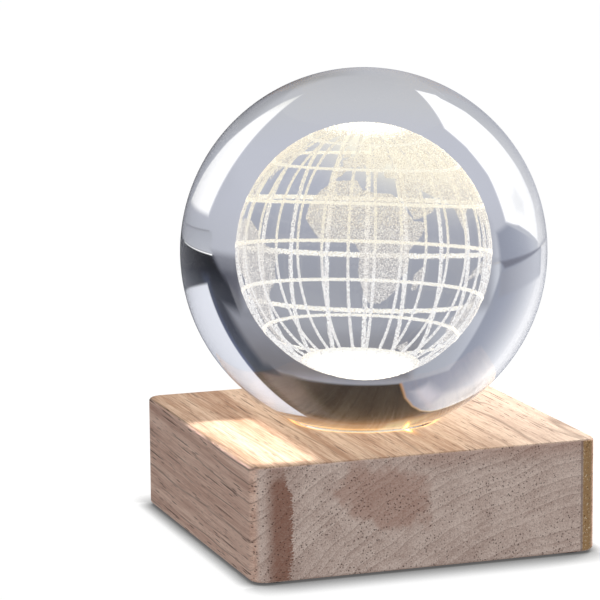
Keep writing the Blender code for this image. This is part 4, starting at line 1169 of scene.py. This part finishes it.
def lightWood(look):
    finish = Finish("light_wood")
    position = finish.place()
    x, y, z = finish.split(position)
    level = z - y * look["tilt"]
    across, up = x - look["heart"][0], level - look["heart"][1]
    wave = finish.noise(finish.join(x / 22, y / 110, level / 22), detail=3)
    ringRadius = (across ** 2 + up ** 2) ** 0.5 + wave * look["ringWave"]

    nx, ny, nz = finish.split(finish.node("NewGeometry", out="Normal"))
    ends = abs(ny).above(0.55, 0.9)
    onTop = nz.above(0.5, 0.9)
    front = ny.above(-0.5, -0.9)

    def along(width, length):
        # places stretched along the grain
        return finish.join(x / width, y / length, level / width)

    def pores(width, length, start, full):
        # tubes along the grain, long dashes from the side and dots from the end
        return finish.cells(along(width, length)).above(start, full)

    def streaked(width, length, detail, roughness):
        return finish.noise(along(width, length), detail=detail, roughness=roughness)

    streaks, longPores, shortPores, finePores = (
        pores(*look[kind]) for kind in ("streaks", "longPores", "shortPores", "finePores"))
    fibres, bands, speckle = (streaked(*look[kind]) for kind in ("fibres", "bands", "speckle"))
    thick = finish.noise(finish.join(ringRadius / 5, x / 9, y / 60)).above(0.34, 0.60)
    cloud = finish.noise(finish.join(x / 7, y / 40, level / 7), detail=3)

    # growth rings: thin dark lines at uneven steps, each broken here and there
    step = look["ringStep"]
    uneven = finish.noise(finish.join(ringRadius / (2 * step), 0.3, 0.7)) * 2.2
    ringShade = (ringRadius / step + uneven).maths("FRACT")
    broken = finish.noise(finish.join(ringRadius / step, x / 16, y / 30), detail=3)
    ringLine = ringShade.above(0.84, 0.93) * ringShade.above(1.0, 0.96) * broken.above(0.40, 0.56)

    tone = (fibres * 0.86 + bands * 0.80 - 0.33).above(0.25, 0.75)
    # the top, side and end tones differ partly by painted light: the sides are painted lighter than
    # the top
    top = finish.mix(tone, look["topLight"], look["topDark"])
    # painted light: the top grows paler towards its right end, where more light falls
    top = finish.mix(x.above(2, 36) * 0.25, top, look["topLitRight"])
    side = finish.mix(tone, look["sideLight"], look["sideDark"])
    endTone = (speckle * 1.15 + ringShade * 0.15 + cloud * 0.46 - 0.40).above(0.15, 0.85)
    end = finish.mix(endTone, look["endLight"], look["endDark"])
    end = stainsAndPaintedLight(finish, look, end, position, front)
    colour = finish.mix(ends, finish.mix(onTop, side, top), end)

    (long, longer), (short, shorter) = look["longDark"], look["shortDark"]
    dark = greatest(
        ringLine * (look["ringDark"] - ends * 0.40 - onTop * 0.10),
        streaks * (look["streakDark"] - onTop * 0.25) * (1 - ends),
        longPores * (long + thick * longer),
        shortPores * (short + thick * shorter),
        finePores * look["fineDark"],
        # painted shade: a dark line on the front face where its right corner starts to round
        abs(x - look["cornerFrom"]).above(0.34, 0.12) * front * 0.6)
    colour = finish.mix(dark * look["poreDepth"], colour, look["poreAndShade"])

    # painted glow: where the wood is seen through the ball after a reflection inside it, or where y
    # is above about -8, it turns black with a plain grey glow standing in for the studio
    inBall = greatest(finish.ray("Glossy Depth").above(0.4, 0.6), y.above(-9.0, -7.0))
    inBall = inBall * finish.ray("Transmission Depth").above(1.4, 1.6)
    leak = leakedLight(look, x, y, z) * (1 - inBall)
    glow = finish.vector("SCALE", look["glow"][:3], Scale=leak)
    plain = finish.vector("SCALE", look["inBall"][:3], Scale=look["inBallStrength"])
    return finish.surface(
        Base_Color=finish.mix(inBall, colour, look["inBallColour"]),
        Roughness=0.50 + fibres * 0.16 + ends * 0.12,
        Normal=finish.bump(fibres * 0.25 - dark, 0.35, 0.00012), Specular_IOR_Level=0.35,
        Emission_Color=finish.mix(inBall, glow, plain), Emission_Strength=look["glowStrength"])


block = buildWoodBlock(woodBlock)
dress(block, lightWood(woodLook))
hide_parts("wood_base")
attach(block, "base")
print("wood ready")


def darker(colour, share):
    return tuple(value * share for value in colour[:3]) + (1,)


def mouldedPlastic(name, colour, grain, rough):
    finish = Finish(name)
    position = finish.place()
    speckle = finish.noise(position, 6.0, 3)
    cloud = finish.noise(position, 0.12, 2)
    shade = finish.mix(speckle * 0.5 + cloud * 0.5, colour, darker(colour, 0.78))
    return finish.surface(
        Base_Color=shade, Roughness=rough + speckle * 0.12,
        Normal=finish.bump(finish.cells(position, 2.2), grain, 0.00006))


def drawnMetal(name, colour, along, rough):
    # fine draw marks along one axis
    finish = Finish(name)
    stretch = tuple(0.4 if axis == along else 14.0 for axis in "xyz")
    lines = finish.noise(finish.vector("MULTIPLY", finish.place(), stretch), 1.0, 3)
    dull = finish.noise(finish.place(), 0.5, 3)
    return finish.surface(
        Base_Color=finish.mix(dull.above(0.4, 0.75), colour, darker(colour, 0.6)),
        Metallic=1.0, Roughness=rough + lines * 0.18,
        Normal=finish.bump(lines, 0.15, 0.00004))


def circuitBoard():
    finish = Finish("circuit_board")
    position = finish.place()
    x, y, z = finish.split(position)
    reach = (x ** 2 + y ** 2) ** 0.5
    turn = y.maths("ARCTAN2", x)
    tracks = (turn * 12 / math.pi).maths("PINGPONG", 1.0).above(0.12, 0.2)
    track = (1 - tracks) * reach.above(9.5, 10.2) * reach.above(16.0, 15.4)
    mask = finish.mix(finish.noise(position, 3.0, 2), seen(232, 236, 232), seen(214, 220, 214))
    return finish.surface(
        Base_Color=finish.mix(track, mask, seen(198, 206, 196)), Roughness=0.35,
        Normal=finish.bump(track, 0.3, 0.00003), Coat_Weight=0.3)


def lampChip():
    # white body with a lit yellow square on top
    finish = Finish("lamp_chip")
    x, y, z = finish.xyz()
    top = z.above(19.30, 19.42)
    grain = finish.noise(finish.place(), 9.0, 2)
    body = finish.mix(grain, seen(240, 238, 230), seen(222, 220, 212))
    return finish.surface(
        Base_Color=finish.mix(top, body, seen(250, 214, 110)), Roughness=0.4,
        Emission_Color=finish.mix(top, (0, 0, 0, 1), seen(255, 214, 150)),
        Emission_Strength=6.0)


def resistorBody():
    finish = Finish("resistor_body")
    x, y, z = finish.xyz()
    caps = abs(y).above(0.9, 1.0)
    return finish.surface(
        Base_Color=finish.mix(caps, seen(28, 28, 30), seen(200, 200, 204)),
        Roughness=0.35 + finish.noise(finish.place(), 5.0) * 0.2, Metallic=caps)


def cellJacket():
    # a plain two-colour shrink jacket with bare metal ends
    finish = Finish("cell_jacket")
    position = finish.place()
    x, y, z = finish.split(position)
    wrinkle = finish.noise(finish.vector("MULTIPLY", position, (0.2, 1.4, 1.4)), 1.0, 3)
    metal = abs(x).above(21.2, 21.35)
    band = x.above(9.8, 9.9)
    tone = finish.mix(band, seen(38, 44, 52), seen(196, 132, 62))
    tone = finish.mix(metal, tone, seen(206, 204, 198))
    return finish.surface(
        Base_Color=tone, Metallic=metal, Roughness=0.26 + wrinkle * 0.16,
        Normal=finish.bump(wrinkle, 0.2, 0.00008))


def frostedWindow():
    # clear plastic, evenly lit from below
    finish = Finish("window_plastic")
    x, y, z = finish.xyz()
    reach = (x ** 2 + y ** 2) ** 0.5
    spots = finish.cells(finish.place(), 0.12)
    light = finish.mix(reach.above(14.0, 3.0), seen(255, 236, 210), seen(255, 246, 228))
    return finish.surface(
        Base_Color=seen(196, 196, 198), Roughness=0.25 + spots * 0.1,
        Emission_Color=light, Emission_Strength=0.12)


def footRubber():
    finish = Finish("foot_rubber")
    pits = finish.noise(finish.place(), 5.0, 4)
    return finish.surface(
        Base_Color=finish.mix(pits, seen(34, 34, 36), seen(58, 58, 60)),
        Roughness=0.75 + pits * 0.15, Normal=finish.bump(pits, 0.4, 0.0001))


finishes = {
    "clear_plastic": frostedWindow(),
    "board": circuitBoard(),
    "led": lampChip(),
    "resistor": resistorBody(),
    "cell_jacket": cellJacket(),
    "foot_rubber": footRubber(),
}
for name, values in {
        "white_plastic": (seen(238, 237, 232), 0.15, 0.4),
        "black_plastic": (seen(38, 38, 40), 0.5, 0.5),
        "switch_plastic": (seen(24, 24, 26), 0.2, 0.32),
        "red_pvc": (seen(186, 26, 24), 0.1, 0.38),
        "black_pvc": (seen(26, 26, 28), 0.1, 0.38)}.items():
    finishes[name] = mouldedPlastic(name, *values)
for name, values in {
        "nickel_steel": (seen(214, 208, 196), "x", 0.24),
        "zinc_steel": (seen(196, 198, 204), "z", 0.3)}.items():
    finishes[name] = drawnMetal(name, *values)

wears = {
    "light_window": "clear_plastic",
    "reflector_ring": "white_plastic",
    "led_board": "board",
    "led_": "led",
    "resistor_": "resistor",
    "board_screw_": "zinc_steel",
    "cell_tray": "black_plastic",
    "tray_screw_": "zinc_steel",
    "cell_spring_": "nickel_steel",
    "contact_": "nickel_steel",
    "cell_": "cell_jacket",
    "bottom_cover": "black_plastic",
    "cover_screw_": "zinc_steel",
    "battery_door": "black_plastic",
    "switch_screw_": "zinc_steel",
    "switch_": "switch_plastic",
    "foot_pad_": "foot_rubber",
    "lead_red": "red_pvc",
    "lead_": "black_pvc",
}

for nodeName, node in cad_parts.items():
    if node.hide_render:
        continue
    start = next(start for start in wears if nodeName.startswith(start))
    dress(node, finishes[wears[start]])
print("carried-over pieces dressed")
